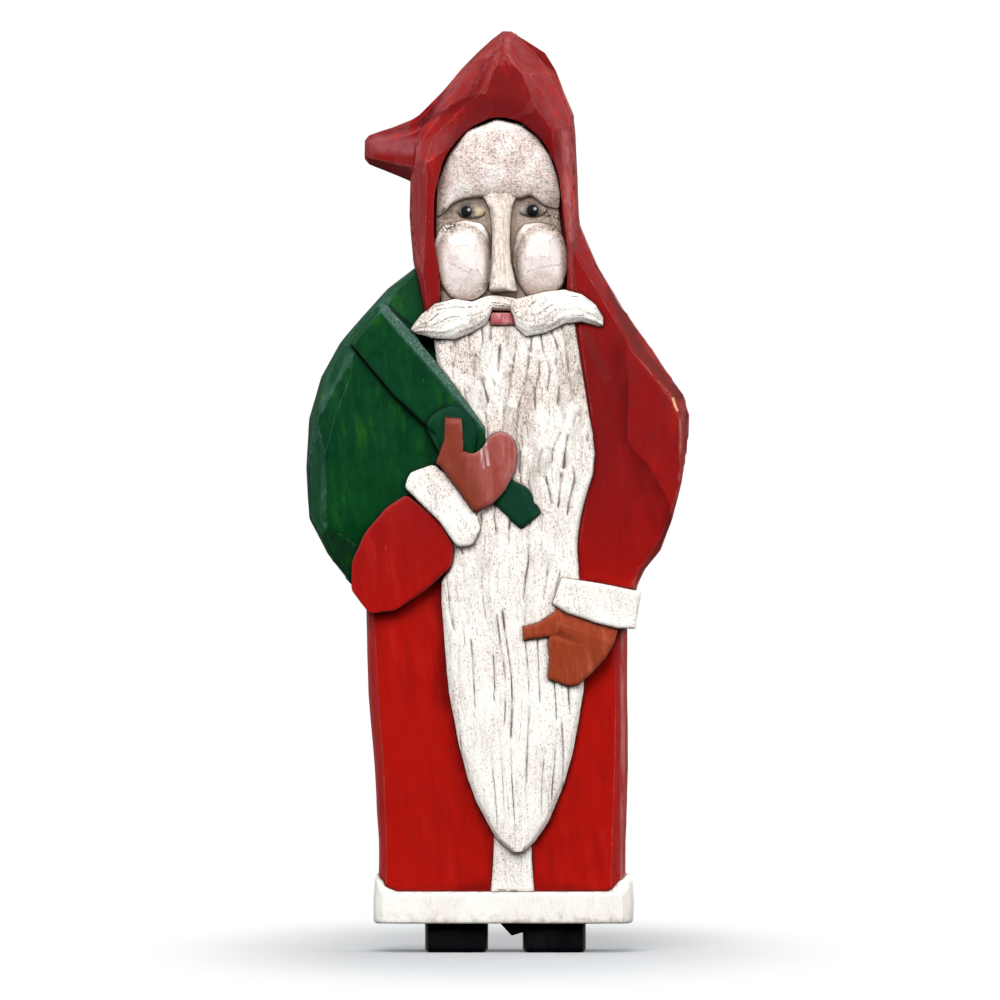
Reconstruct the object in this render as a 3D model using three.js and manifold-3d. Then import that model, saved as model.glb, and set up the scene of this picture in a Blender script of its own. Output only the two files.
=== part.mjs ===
// A robed, bearded gift-bringer with a sack, knife-carved from one block of wood and painted.
// Millimetres, +Z up, the front towards -Y, the origin on the ground under the middle of the figure.
// Outlines are in hundredths of the figure's height, x to the viewer's right of the middle and z up from the soles.
// Depths are in millimetres forward of the block's middle plane, so a larger depth stands nearer the viewer.

import * as THREE from 'three';
import { mergeVertices } from 'three/addons/utils/BufferGeometryUtils.js';
import Module from 'manifold-3d';

const wasm = await Module();
wasm.setup();

// Overall sizes
const FIGURE_HEIGHT = 300;
const BOOT_HEIGHT = 9.4;
const BOOT_WIDTH = 20.6;
const BOOT_GAP = 11.2;
const HEM_HEIGHT = 10.3;
const HEM_PROUD = 2.4;
const HEM_SIDE_RISE = 5.5;
const STRIP_WIDTH = 13;
const STRIP_PROUD = 1.1;

// Depths of the block and of its large forms
const COAT_FRONT = 20;
const COAT_BACK = 22;
const BOOT_FRONT = 19;
const BOOT_BACK = 17;
const SLEEVE_FRONT = 22.5;
const SLEEVE_BACK = 16;
const SACK_FRONT = 21;
const SACK_BACK = 27;
const HOOD_FRONT = 26.5;
const HOOD_BACK = 24;

// Depths of the carved relief
const OPENING_FLOOR = 17;
const FACE_FRONT = 21.5;
const FOREHEAD_FRONT = 25.6;
const CHEEK_FRONT = 27;
const NOSE_BRIDGE = 24.4;
const NOSE_TIP = 28.6;
const MOUSTACHE_FRONT = 29;
const LIP_FRONT = 25.4;
const BEARD_EDGE = 22.4;
const BEARD_FRONT = 25.2;
const BEARD_BEVEL = 1.4;
const NECK_FRONT = 24.6;
const NECK_SINK = 5;
const TAIL_FRONT = 26.6;
const ELBOW_FRONT = 25.8;
const CUFF_FRONT = 27.8;
const MITTEN_FRONT = 29.2;
const LOWER_CUFF_FRONT = 26.4;
const LOWER_MITTEN_FRONT = 26.8;
const EDGE_ROUNDING = 1.7;

// Carving of the beard
const LOCKS = 10;
const LOCK_GROOVE = 1.1;
const LOCK_WAVE = 0.035;
const LOCK_LEVELS = 30;

const share = FIGURE_HEIGHT / 100;
const hemTop = (BOOT_HEIGHT + HEM_HEIGHT) / share;
const bootTop = BOOT_HEIGHT / share;

// Triangles of a simple flat loop, so that a loft's end is closed whatever its outline
function capTriangles(loop) {
  const normal = new THREE.Vector3();
  loop.forEach((point, i) => {
    const next = loop[(i + 1) % loop.length];
    normal.x += (point.y - next.y) * (point.z + next.z);
    normal.y += (point.z - next.z) * (point.x + next.x);
    normal.z += (point.x - next.x) * (point.y + next.y);
  });
  const size = [Math.abs(normal.x), Math.abs(normal.y), Math.abs(normal.z)];
  const dropped = size.indexOf(Math.max(...size));
  const axes = ['x', 'y', 'z'].filter((_, i) => i !== dropped);
  return THREE.ShapeUtils.triangulateShape(loop.map((p) => new THREE.Vector2(p[axes[0]], p[axes[1]])), []);
}

// Cap triangles turned so that they run along the loop or against it
function turnedCap(loop, alongLoop) {
  const triangles = capTriangles(loop);
  const follows = triangles.some(([a, b, c]) => [[a, b], [b, c], [c, a]].some(([p, q]) => q === p + 1));
  return triangles.map(([a, b, c]) => (follows === alongLoop ? [a, b, c] : [a, c, b]));
}

// A solid skinned over closed rings of points, each ring with as many points as the next, and closed at both ends
function loft(rings) {
  const count = rings[0].length;
  const index = [];
  for (let level = 0; level < rings.length - 1; level += 1) {
    for (let i = 0; i < count; i += 1) {
      const a = level * count + i;
      const b = level * count + ((i + 1) % count);
      index.push(a, b, b + count, a, b + count, a + count);
    }
  }
  const last = (rings.length - 1) * count;
  turnedCap(rings[0], false).forEach((t) => index.push(...t));
  turnedCap(rings[rings.length - 1], true).forEach((t) => index.push(...t.map((i) => i + last)));

  const geometry = new THREE.BufferGeometry();
  geometry.setAttribute('position', new THREE.Float32BufferAttribute(rings.flat().flatMap((p) => [p.x, p.y, p.z]), 3));
  geometry.setIndex(index);
  return solidOf(geometry);
}

// A closed geometry as a solid for joining and cutting, with its faces pointing out
function solidOf(geometry) {
  const merged = mergeVertices(geometry, 1e-4);
  const vertProperties = new Float32Array(merged.attributes.position.array);
  const triVerts = new Uint32Array(merged.index.array);
  if (signedVolume(vertProperties, triVerts) < 0) {
    for (let i = 0; i < triVerts.length; i += 3) {
      [triVerts[i + 1], triVerts[i + 2]] = [triVerts[i + 2], triVerts[i + 1]];
    }
  }
  return new wasm.Manifold(new wasm.Mesh({ numProp: 3, vertProperties, triVerts }));
}

// Six times the volume inside a triangle mesh, negative when its faces point in
function signedVolume(positions, triangles) {
  const corner = (i) => new THREE.Vector3().fromArray(positions, 3 * triangles[i]);
  let volume = 0;
  for (let i = 0; i < triangles.length; i += 3) {
    volume += corner(i).dot(corner(i + 1).cross(corner(i + 2)));
  }
  return volume;
}

// A smooth closed outline through a few points
function smooth(points, count) {
  const curve = new THREE.CatmullRomCurve3(points.map(([x, z]) => new THREE.Vector3(x, 0, z)), true, 'centripetal');
  return curve.getSpacedPoints(count).slice(0, count).map((p) => [p.x, p.z]);
}

// An egg-shaped outline, wider below its middle by the given lean
function egg([x, z], halfWidth, halfHeight, lean, count) {
  return Array.from({ length: count }, (_, i) => {
    const angle = (2 * Math.PI * i) / count;
    const widen = 1 - lean * Math.sin(angle);
    return [x + halfWidth * widen * Math.cos(angle), z + halfHeight * Math.sin(angle)];
  });
}

// The point of a chain of points that lies nearest to one point
function nearestOn(chain, [x, z]) {
  let best = chain[0];
  let least = Infinity;
  for (let i = 0; i < chain.length - 1; i += 1) {
    const [ax, az] = chain[i];
    const [bx, bz] = chain[i + 1];
    const along = ((x - ax) * (bx - ax) + (z - az) * (bz - az)) / ((bx - ax) ** 2 + (bz - az) ** 2);
    const t = THREE.MathUtils.clamp(along, 0, 1);
    const point = [ax + t * (bx - ax), az + t * (bz - az)];
    const distance = Math.hypot(x - point[0], z - point[1]);
    if (distance < least) {
      least = distance;
      best = point;
    }
  }
  return best;
}

// A raised form: an outline seen from the front, upright from its root, rounded over its edge towards its spine
function relief(outline, { root, front, spine, rounding = EDGE_ROUNDING, flat = 0.35, lean = () => 0 }) {
  const quarter = [0, 0.35, 0.7, 1];
  const depthAt = (turn) => front - rounding * (1 - Math.sin((turn * Math.PI) / 2));
  const inset = (turn) => (1 - flat) * (1 - Math.cos((turn * Math.PI) / 2));
  const ringAt = (shrink, depth, leaning) =>
    outline.map(([x, z]) => {
      const [sx, sz] = nearestOn(spine, [x, z]);
      const px = x + (sx - x) * shrink;
      const pz = z + (sz - z) * shrink;
      return new THREE.Vector3(px * share, -(depth + (leaning ? lean(px, pz) : 0)), pz * share);
    });
  return loft([ringAt(0, root, false), ...quarter.map((turn) => ringAt(inset(turn), depthAt(turn), true))]);
}

// One level of an upright form: a flat front and back between two ridges, and slanting cuts to the two sides
function level([z, left, ridgeLeft, ridgeRight, right, front, back], sideRise = 0) {
  const bevel = 0.3;
  const crown = 0.03;
  const sideFront = 0.5 * front;
  const sideBack = 0.45 * back;
  const middle = (ridgeLeft + ridgeRight) / 2;
  const at = (x, depth, rise = 0) => new THREE.Vector3(x * share, -depth, z * share + rise);
  const cornerCut = (side, ridge, flat, face) =>
    at(side + (ridge - side) * bevel, flat + (face - flat) * (1 - bevel), sideRise * (1 - bevel));
  return [
    at(ridgeLeft, front),
    at(middle, front * (1 + crown)),
    at(ridgeRight, front),
    cornerCut(right, ridgeRight, sideFront, front),
    at(right, sideFront, sideRise),
    at(right, -sideBack, sideRise),
    cornerCut(right, ridgeRight, -sideBack, -back),
    at(ridgeRight, -back),
    at(middle, -back * (1 + crown)),
    at(ridgeLeft, -back),
    cornerCut(left, ridgeLeft, -sideBack, -back),
    at(left, -sideBack, sideRise),
    at(left, sideFront, sideRise),
    cornerCut(left, ridgeLeft, sideFront, front),
  ];
}

// The value of a stepped list of [height, value] pairs at one height, straight between its steps
function between(steps, height) {
  const above = steps.findIndex(([z]) => z <= height);
  if (above <= 0) return steps[above === 0 ? 0 : steps.length - 1][1];
  const [z0, v0] = steps[above - 1];
  const [z1, v1] = steps[above];
  return v0 + ((v1 - v0) * (height - z0)) / (z1 - z0);
}

// The long coat from inside the hem to the shoulders
function coat() {
  const rows = [
    [bootTop + 0.6, -12.8, -12, 12.3, 14],
    [12, -12.8, -12, 12.5, 14],
    [20, -13.3, -12.3, 12.8, 14.3],
    [28, -14, -12.9, 12.9, 14.2],
    [37, -14.2, -13.4, 12.6, 14.2],
    [52, -12, -9, 9, 12.5],
    [70, -8.4, -7, 7, 9],
  ];
  return loft(rows.map((row) => level([...row, COAT_FRONT, COAT_BACK])));
}

// The fur hem, level below, with its upper edge climbing round the sides
function hem() {
  const front = COAT_FRONT + HEM_PROUD;
  const back = COAT_BACK + HEM_PROUD;
  const worn = 0.7;
  const middle = (bootTop + hemTop) / 2;
  return loft([
    level([bootTop, -13, -12.4, 13.5, 14.4, front - worn, back - worn]),
    level([bootTop + 0.5, -13.4, -12.5, 13.7, 14.8, front, back]),
    level([middle, -13.4, -12.5, 13.7, 14.9, front, back], HEM_SIDE_RISE / 3),
    level([hemTop - 0.3, -13.1, -12.4, 13.7, 14.7, front, back], HEM_SIDE_RISE * 0.8),
    level([hemTop, -12.9, -12.2, 13.4, 14.3, front - worn, back - worn], HEM_SIDE_RISE),
  ]);
}

// The upright strip of trim between the beard and the hem
function strip() {
  const middle = 1.7;
  const half = STRIP_WIDTH / 2 / share;
  const flare = 0.25;
  const outline = [
    [middle - half - flare, hemTop - 0.8],
    [middle + half + flare, hemTop - 0.8],
    [middle + half, hemTop + 2.5],
    [middle + half - flare, 14],
    [middle - half + flare, 14],
    [middle - half, hemTop + 2.5],
  ];
  const spine = [[middle, hemTop], [middle, 13]];
  return relief(outline, { root: OPENING_FLOOR, front: COAT_FRONT + STRIP_PROUD + 0.6, spine, rounding: 0.8, flat: 0.8 });
}

// One squat boot with a flat sole, its outer edge at the given x in millimetres
function boot(left) {
  const x0 = left / share;
  const x1 = (left + BOOT_WIDTH) / share;
  const round = 0.35;
  const rows = [
    [0, x0 + 0.15, x0 + round, x1 - round, x1 - 0.15, BOOT_FRONT - 0.8, BOOT_BACK - 0.8],
    [0.5, x0, x0 + round, x1 - round, x1, BOOT_FRONT, BOOT_BACK],
    [bootTop, x0, x0 + round, x1 - round, x1, BOOT_FRONT - 1.5, BOOT_BACK],
    [bootTop + 1.5, x0, x0 + round, x1 - round, x1, BOOT_FRONT - 2.5, BOOT_BACK - 1],
  ];
  return loft(rows.map((row) => level(row)));
}

// Both boots, with the web of uncut wood that was left between them
function boots() {
  const leftBoot = -7.8 * share;
  const rightBoot = leftBoot + BOOT_WIDTH + BOOT_GAP;
  const inner = rightBoot / share;
  const web = [[inner - 2.6, bootTop + 0.8], [inner - 2.5, bootTop], [inner - 1.2, 1.7], [inner + 0.4, 2.2], [inner + 0.4, bootTop + 0.8]];
  const spine = [[inner - 1.2, bootTop], [inner, bootTop]];
  return boot(leftBoot)
    .add(boot(rightBoot))
    .add(relief(web, { root: -9, front: 9, spine, rounding: 1.5, flat: 0.5 }));
}

// The pointed hood, whose top leans to the viewer's left and ends in a drooping tip
function hood() {
  const rows = [
    [60, -7.2, -6.2, 7, 8.2, 0.76, 0.88],
    [65, -7.6, -6.7, 7.4, 8.6, 0.88, 0.95],
    [70, -8.1, -7.6, 8, 9.2, 0.93, 1],
    [75, -9.1, -8.1, 8.2, 9.6, 0.99, 1.01],
    [80, -9.5, -8.5, 7.9, 8.9, 1, 1.02],
    [84, -9.4, -8.3, 7.5, 8.8, 1, 1],
    [88, -9, -7, 6.9, 8.6, 0.98, 0.95],
    [90.8, -8.4, -4.4, 6.3, 8.4, 0.93, 0.88],
    [93.4, -5.9, -1.6, 4.9, 7.3, 0.82, 0.76],
    [95.8, -3.9, -0.5, 2.9, 6.4, 0.68, 0.64],
    [97.6, -2.2, -0.2, 1.7, 5.3, 0.52, 0.5],
    [99.1, -0.6, 0.4, 0.9, 3, 0.32, 0.32],
    [100, 0.6, 0.8, 1, 1.6, 0.12, 0.14],
  ];
  const body = loft(rows.map(([z, a, b, c, d, front, back]) => level([z, a, b, c, d, front * HOOD_FRONT, back * HOOD_BACK])));
  return body.add(hoodTip());
}

// The drooping tip as cuts across its own length, from the blunt end to where it joins the hood
function hoodTip() {
  const cuts = [
    [-14.4, 86.1, 88.1, 5],
    [-13.9, 85.5, 88.7, 8],
    [-11.4, 84.5, 89.5, 11],
    [-9.2, 83.6, 90.4, 15],
    [-6.4, 84.5, 92.7, 17],
    [-2.8, 86, 95.5, 15],
  ];
  return loft(
    cuts.map(([x, low, high, half]) => {
      const at = (z, depth) => new THREE.Vector3(x * share, -depth, z * share);
      const ridge = high - (high - low) * 0.24;
      const under = low + (high - low) * 0.22;
      return [at(high, 0.45 * half), at(ridge, half), at(under, half), at(low, 0.55 * half),
        at(low, -0.45 * half), at(under, -0.9 * half), at(ridge, -0.95 * half), at(high, -0.4 * half)];
    }),
  );
}

// The arched opening cut into the hood for the face
function opening() {
  const arch = [
    [-6.2, 66], [-6.1, 73.1], [-6.9, 77.7], [-6.8, 81.9], [-5.7, 86.1], [-3.4, 89.1], [-0.2, 90.6],
    [2.6, 90.1], [5.1, 87.9], [6.7, 84.4], [7.1, 80.5], [7.6, 76.5], [7.6, 72], [7.2, 66],
  ];
  return relief(smooth(arch, 30), {
    root: OPENING_FLOOR, front: 2 * HOOD_FRONT, spine: [[0.3, 72], [0.3, 84]], rounding: 1, flat: 0.99,
  });
}

// The face inside the hood: a flat ground for the eyes, a domed forehead, two egg-shaped cheeks and a long nose
function face() {
  const ground = smooth([
    [-5.8, 68], [-6.3, 73], [-6.6, 78], [-6.5, 82], [-5.3, 86.1], [-3.3, 88.6], [0, 90], [2.6, 89.3],
    [4.7, 87.6], [6.3, 84], [6.7, 80.5], [7.2, 76.5], [7.1, 72], [6.9, 68],
  ], 24);
  const forehead = [
    [-6.4, 81.2], [-4.6, 81.6], [-1.2, 81.9], [1.7, 81.7], [4.6, 82.2], [6.5, 81.7], [6.5, 83.9],
    [5.7, 86.2], [4.4, 88.1], [2.6, 89.5], [0, 90.1], [-3.2, 88.9], [-5.2, 86.2], [-6.1, 83.6],
  ];
  const nose = [
    [-1.3, 82.4], [-0.8, 80.3], [-0.7, 76.2], [-0.8, 73], [-0.7, 71.3], [2.2, 71.3], [1.9, 73],
    [1.6, 76.2], [1.5, 80.3], [2.2, 82.4],
  ];
  const noseFall = (x, z) => ((82.4 - z) / (82.4 - 71.3)) * (NOSE_TIP - NOSE_BRIDGE);
  return relief(ground, { root: 0, front: FACE_FRONT, spine: [[0.3, 74], [0.3, 83]], rounding: 1, flat: 0.6 })
    .add(relief(forehead, { root: 0, front: FOREHEAD_FRONT, spine: [[-1.5, 84.2], [2, 84.2]], rounding: 3, flat: 0.3 }))
    .add(relief(egg([-3.7, 74.8], 2.9, 3.95, 0.03, 14), {
      root: 0, front: CHEEK_FRONT, spine: [[-3.7, 73.6], [-3.7, 76]], rounding: 4.4, flat: 0.35 }))
    .add(relief(egg([4.8, 74.9], 2.55, 3.65, 0.03, 14), {
      root: 0, front: CHEEK_FRONT, spine: [[4.8, 73.8], [4.8, 76]], rounding: 4.4, flat: 0.35 }))
    .add(relief(nose, {
      root: 0, front: NOSE_BRIDGE, spine: [[0.4, 81], [0.6, 72.4]], rounding: 1.6, flat: 0.55, lean: noseFall }));
}

// The moustache as cuts across its sweep, from the left tip over the mouth to the right tip, with the lip below it
function moustache() {
  const cuts = [
    [-9.3, 67.1, 67.6, 0.84],
    [-8.2, 66.9, 69.1, 0.91],
    [-6.7, 66.5, 70.3, 0.96],
    [-4.5, 66.4, 70.8, 1],
    [-2.7, 67.1, 70.5, 0.99],
    [-1.1, 68.1, 71.1, 0.97],
    [-0.5, 69.6, 71.2, 0.95],
    [1.5, 69.5, 71, 0.95],
    [2.1, 67.6, 70.8, 0.97],
    [3.2, 66.7, 71.1, 0.99],
    [5.3, 67.1, 71.6, 1],
    [7.4, 68.1, 71.8, 0.98],
    [9.2, 68.3, 71.3, 0.94],
    [10.7, 67.9, 70.2, 0.9],
    [11.5, 67.7, 69, 0.84],
  ];
  const wings = loft(
    cuts.map(([x, low, high, reach]) => {
      const depth = reach * MOUSTACHE_FRONT;
      const at = (part, d) => new THREE.Vector3(x * share, -d, (low + part * (high - low)) * share);
      return [at(0, 0), at(0, depth - 2.2), at(0.2, depth - 0.5), at(0.55, depth), at(0.85, depth - 1.2),
        at(1, depth - 3.2), at(1, 0)];
    }),
  );
  const lip = [[-0.7, 67.9], [1.9, 67.9], [1.9, 69.3], [-0.7, 69.3]];
  return wings.add(relief(lip, { root: 0, front: LIP_FRONT, spine: [[0.2, 68.6], [1, 68.6]], rounding: 0.9, flat: 0.5 }));
}

// The long beard: narrow locks side by side that wave a little and run together towards its tip
function beard() {
  const top = 68.6;
  const tip = 10.9;
  const leftEdge = [
    [top, -7], [64.6, -6.6], [60, -6], [52, -5], [44, -4.7], [42, -5], [40.2, -6], [38, -6], [32.6, -5.6],
    [28.2, -5.2], [25.2, -4.6], [22.5, -4.1], [18.7, -3.1], [16.3, -2.2], [14.2, -1.1], [12.3, 0], [tip, 1.7],
  ];
  const rightEdge = [
    [top, 8.6], [63, 9.5], [59.8, 10], [56.4, 10.6], [54, 10.8], [51.8, 10.6], [49.3, 9.9], [47.1, 9.3],
    [44.8, 8.9], [40.9, 8.9], [34, 9.6], [28.4, 9.4], [24.7, 8.8], [21.5, 8.2], [18, 7.2], [14.2, 5.6],
    [12, 4.1], [tip, 2.9],
  ];
  const smoothChin = 63.5;
  const hollow = 0.21;
  const column = (u, height, groove) => {
    const fall = (top - height) / (top - tip);
    const left = between(leftEdge, height);
    const right = between(rightEdge, height);
    const wave = LOCK_WAVE * 4 * u * (1 - u) * Math.sin(10 * fall + 7 * u);
    const crown = 1 - (2 * u - 1) ** 4;
    const depth = BEARD_EDGE + BEARD_BEVEL + (BEARD_FRONT - BEARD_EDGE - BEARD_BEVEL) * crown - groove;
    return new THREE.Vector3((left + (right - left) * (u + wave)) * share, -depth, height * share);
  };
  const rings = Array.from({ length: LOCK_LEVELS + 1 }, (_, i) => {
    const height = top + (tip - top) * (i / LOCK_LEVELS) ** 0.92;
    const fade = THREE.MathUtils.smoothstep(smoothChin - height, -2, 3) * THREE.MathUtils.smoothstep(height, tip, tip + 6);
    const ring = [column(0, height, BEARD_BEVEL)];
    for (let lock = 0; lock < LOCKS; lock += 1) {
      const strength = 0.7 + 0.3 * Math.sin(2.3 * lock + 0.11 * height);
      if (lock > 0) ring.push(column(lock / LOCKS, height, LOCK_GROOVE * fade * strength));
      ring.push(column((lock + hollow) / LOCKS, height, 0));
      ring.push(column((lock + 1 - hollow) / LOCKS, height, 0));
    }
    ring.push(column(1, height, BEARD_BEVEL));
    const ends = [ring[ring.length - 1], ring[0]];
    ends.forEach((end) => ring.push(new THREE.Vector3(end.x, 0, end.z)));
    return ring;
  });
  return loft(rings);
}

// The sack over the shoulder, bulging at the viewer's left and behind
function sack() {
  const rows = [
    [39.3, -15.4, -14.8, -9, -7, 0.6, 0.5],
    [43.2, -18.4, -17.6, -7, -4, 0.85, 0.8],
    [47, -20.4, -19.1, -6, -2, 0.95, 0.93],
    [52.5, -20.8, -19, -6, -1, 1, 1],
    [57.9, -20.4, -17.6, -6, -1, 1.02, 1],
    [62.4, -19.1, -15.9, -6, -1, 1.03, 0.99],
    [66, -17.1, -15.2, -6, -2, 1.02, 0.96],
    [69, -14.6, -13.3, -6, -3, 0.98, 0.92],
    [72, -11.9, -10.5, -6, -4, 0.9, 0.88],
    [74.2, -9, -8.2, -6, -5, 0.8, 0.84],
  ];
  return loft(rows.map(([z, a, b, c, d, front, back]) => level([z, a, b, c, d, front * SACK_FRONT, back * SACK_BACK])));
}

// The gathered neck of the sack, pulled over the shoulder to the mitten, and its tail hanging out below
function sackNeck() {
  const neck = [[-12, 70.3], [-14.4, 68], [-16.4, 65.4], [-11.4, 60.4], [-6.3, 55.9], [-4, 53], [-1, 55], [-0.9, 57], [-6.4, 63.9]];
  const tail = [[1.7, 51.1], [3.7, 50], [4.9, 47.8], [4.1, 47.1], [2.4, 45.8], [1, 47.2], [-0.6, 49], [0.4, 51]];
  const sink = (x) => -NECK_SINK * THREE.MathUtils.smoothstep(-x, 7, 16);
  return relief(neck, {
    root: 5, front: NECK_FRONT, spine: [[-12.9, 66.6], [-4, 56.6]], rounding: 1.3, flat: 0.65, lean: sink })
    .add(relief(tail, { root: 5, front: TAIL_FRONT, spine: [[1.4, 49.6], [3.2, 47.6]], rounding: 1.2, flat: 0.55 }));
}

// The bent arm at the viewer's left: elbow, cuff, and the mitten that holds the neck of the sack
function carryingArm() {
  const elbow = smooth([
    [-9.6, 49.6], [-11.6, 48.5], [-13.8, 45.9], [-15.6, 42.6], [-15.6, 39.5], [-13.6, 36.8], [-11, 37.1],
    [-7.7, 39.2], [-5, 42], [-4.8, 44], [-6.6, 47],
  ], 24);
  const cuff = smooth([
    [-6.9, 52.7], [-9.3, 51.7], [-9.8, 50.3], [-8.4, 48.8], [-6.1, 46.6], [-4.2, 44.1], [-2.7, 44.3], [-1.8, 46],
    [-2.9, 48.9], [-4.9, 51.3],
  ], 22);
  const palm = smooth([
    [-6.4, 53], [-3.9, 54.6], [-2.7, 54.2], [-1.8, 54.7], [-0.8, 56], [0.8, 56.2], [2.1, 54.8], [2, 52.2],
    [0.7, 49.8], [-2, 47.7], [-4.4, 50.4],
  ], 26);
  const thumb = [[-5.7, 57.9], [-5.8, 55.5], [-6.5, 53], [-4.5, 51.5], [-3.5, 54.6], [-3.9, 57.9]];
  return relief(elbow, { root: -12, front: ELBOW_FRONT, spine: [[-12.6, 41.2], [-8.6, 44]], flat: 0.72 })
    .add(relief(cuff, { root: 5, front: CUFF_FRONT, spine: [[-7.6, 50.2], [-3.8, 45.9]], flat: 0.6 }))
    .add(relief(palm, { root: 5, front: MITTEN_FRONT, spine: [[-3, 51], [0, 53]], rounding: 2.2, flat: 0.4 }))
    .add(relief(thumb, { root: 5, front: MITTEN_FRONT - 0.6, spine: [[-5, 53], [-4.8, 57]], rounding: 1.2, flat: 0.5 }));
}

// The shoulder and the arm that hangs at the viewer's right, with its wide sleeve
function sleeve() {
  const rows = [
    [39.8, 6, 8.8, 14.4, 15.1, 0.93, 0.9],
    [41.5, 6, 8.9, 15.2, 16.1, 0.95, 0.92],
    [43.6, 6, 8.9, 17, 17.8, 0.96, 0.95],
    [47, 6, 9.4, 18.2, 19.1, 0.97, 1],
    [51, 6, 10.2, 19.5, 20.1, 0.99, 1.05],
    [55, 6, 10.6, 19.9, 20.7, 1, 1.1],
    [58.4, 6, 10.3, 19.6, 20.8, 1, 1.15],
    [60.5, 6, 10, 18.7, 20.2, 1, 1.2],
    [63, 5, 9.6, 15.7, 18.4, 1, 1.28],
    [66, 4, 9.2, 14.3, 16.4, 1.01, 1.36],
    [70, 3, 8.8, 12.6, 13.6, 1.03, 1.42],
    [74.4, 2, 8.3, 9.9, 11, 1.06, 1.48],
    [79, 2, 7.4, 8.2, 9, 1.1, 1.5],
    [83, 2, 6.8, 7.6, 8.6, 1.1, 1.48],
  ];
  return loft(rows.map(([z, a, b, c, d, front, back]) => level([z, a, b, c, d, front * SLEEVE_FRONT, back * SLEEVE_BACK])));
}

// The cuff and the mitten at the end of the hanging arm
function hangingHand() {
  const cuff = [
    [7, 40.6], [11.3, 40], [15.6, 39.1], [15.5, 38.4], [15, 35.1], [13.1, 35.1], [10.7, 35.7], [7.5, 36.8], [6, 37.8],
  ];
  const palm = [
    [6.4, 37.4], [13.3, 36], [13.1, 35], [12.7, 33.5], [11.7, 31.8], [10.2, 30.2], [8.8, 29], [7.6, 28.9], [5.5, 29.7],
    [5.7, 32.1], [5.5, 33.5],
  ];
  const thumb = [[6.8, 37.3], [5.6, 36.5], [4.6, 35.8], [2.8, 35.3], [2.9, 33.8], [3.4, 33.9], [6.4, 34.3], [7.6, 35.5]];
  return relief(cuff, { root: -SLEEVE_BACK - 1, front: LOWER_CUFF_FRONT, spine: [[8.4, 38.6], [13.6, 37.4]], rounding: 1.3, flat: 0.6 })
    .add(relief(palm, { root: 0, front: LOWER_MITTEN_FRONT, spine: [[8.4, 34], [9, 31.6]], rounding: 2, flat: 0.5 }))
    .add(relief(thumb, { root: 5, front: LOWER_MITTEN_FRONT - 0.4, spine: [[4, 34.9], [7, 35.8]], rounding: 1.1, flat: 0.5 }));
}

// Everything that was left standing when the block was carved, as one solid
function carving() {
  return coat()
    .add(sleeve())
    .add(hood())
    .subtract(opening())
    .add(face())
    .add(sack())
    .add(sackNeck())
    .add(beard())
    .add(moustache())
    .add(carryingArm())
    .add(hangingHand())
    .add(strip())
    .add(hem())
    .add(boots());
}

// The carved block stood with the middle of its underside on the origin
function stood(solid) {
  const mesh = solid.getMesh();
  const geometry = new THREE.BufferGeometry();
  geometry.setAttribute('position', new THREE.BufferAttribute(new Float32Array(mesh.vertProperties), 3));
  geometry.setIndex(new THREE.BufferAttribute(new Uint32Array(mesh.triVerts), 1));
  geometry.computeBoundingBox();
  const middle = geometry.boundingBox.getCenter(new THREE.Vector3());
  geometry.translate(-middle.x, -middle.y, -geometry.boundingBox.min.z);
  geometry.computeVertexNormals();
  return geometry;
}

const paintedWood = new THREE.MeshStandardMaterial({ color: 0xa51c1f, roughness: 0.55, metalness: 0 });
const figure = new THREE.Group();
const carvingMesh = new THREE.Mesh(stood(carving()), paintedWood);
carvingMesh.name = 'carving';
figure.add(carvingMesh);

export default figure;
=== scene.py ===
"""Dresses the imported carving: a hooded, bearded gift-bringer cut from one block of wood and painted.

Every form of the carving is worked out with numpy as a dense closed skin, the skins are joined into one
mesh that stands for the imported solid, and each finish is a set of procedural nodes that read the mesh's
own attributes. Outlines are in hundredths of the figure's height, x to the viewer's right and z up from
the soles, and depths are in millimetres forward of the block's middle plane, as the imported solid's are.
Meshes are in metres.
"""

import sys
import logging
import math
from dataclasses import dataclass
from enum import Enum
from functools import cached_property
from typing import Any, Callable, Sequence, Union

import bpy
import numpy as np
from mathutils.geometry import delaunay_2d_cdt
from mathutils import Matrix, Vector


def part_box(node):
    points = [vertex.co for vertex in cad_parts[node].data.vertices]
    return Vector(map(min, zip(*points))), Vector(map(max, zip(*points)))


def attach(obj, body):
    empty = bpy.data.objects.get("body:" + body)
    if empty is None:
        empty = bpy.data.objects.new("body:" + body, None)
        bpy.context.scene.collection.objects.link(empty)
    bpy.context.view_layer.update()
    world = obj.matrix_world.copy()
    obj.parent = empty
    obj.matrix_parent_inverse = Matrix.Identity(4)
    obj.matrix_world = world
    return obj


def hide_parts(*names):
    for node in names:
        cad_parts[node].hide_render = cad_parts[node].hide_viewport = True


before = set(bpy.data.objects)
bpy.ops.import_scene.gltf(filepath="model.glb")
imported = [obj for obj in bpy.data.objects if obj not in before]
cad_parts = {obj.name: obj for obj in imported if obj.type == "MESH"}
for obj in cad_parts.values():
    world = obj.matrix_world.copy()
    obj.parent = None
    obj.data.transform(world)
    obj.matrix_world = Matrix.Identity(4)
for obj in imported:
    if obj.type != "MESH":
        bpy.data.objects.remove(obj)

Array = np.ndarray
Pair = tuple[float, float]
Triple = tuple[float, float, float]
Colour = Triple
Spot = Triple
Outline = Sequence[Pair]
Cut = Callable[[Array, Array], Array]
Number = Union["Value", float]

log = logging.getLogger("carving")

MM = 0.001
SEED = 41
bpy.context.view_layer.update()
BLOCK = np.array(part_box("carving"), dtype=float)
FIGURE_HEIGHT = (BLOCK[1, 2] - BLOCK[0, 2]) / MM
SHARE = FIGURE_HEIGHT / 100


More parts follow.
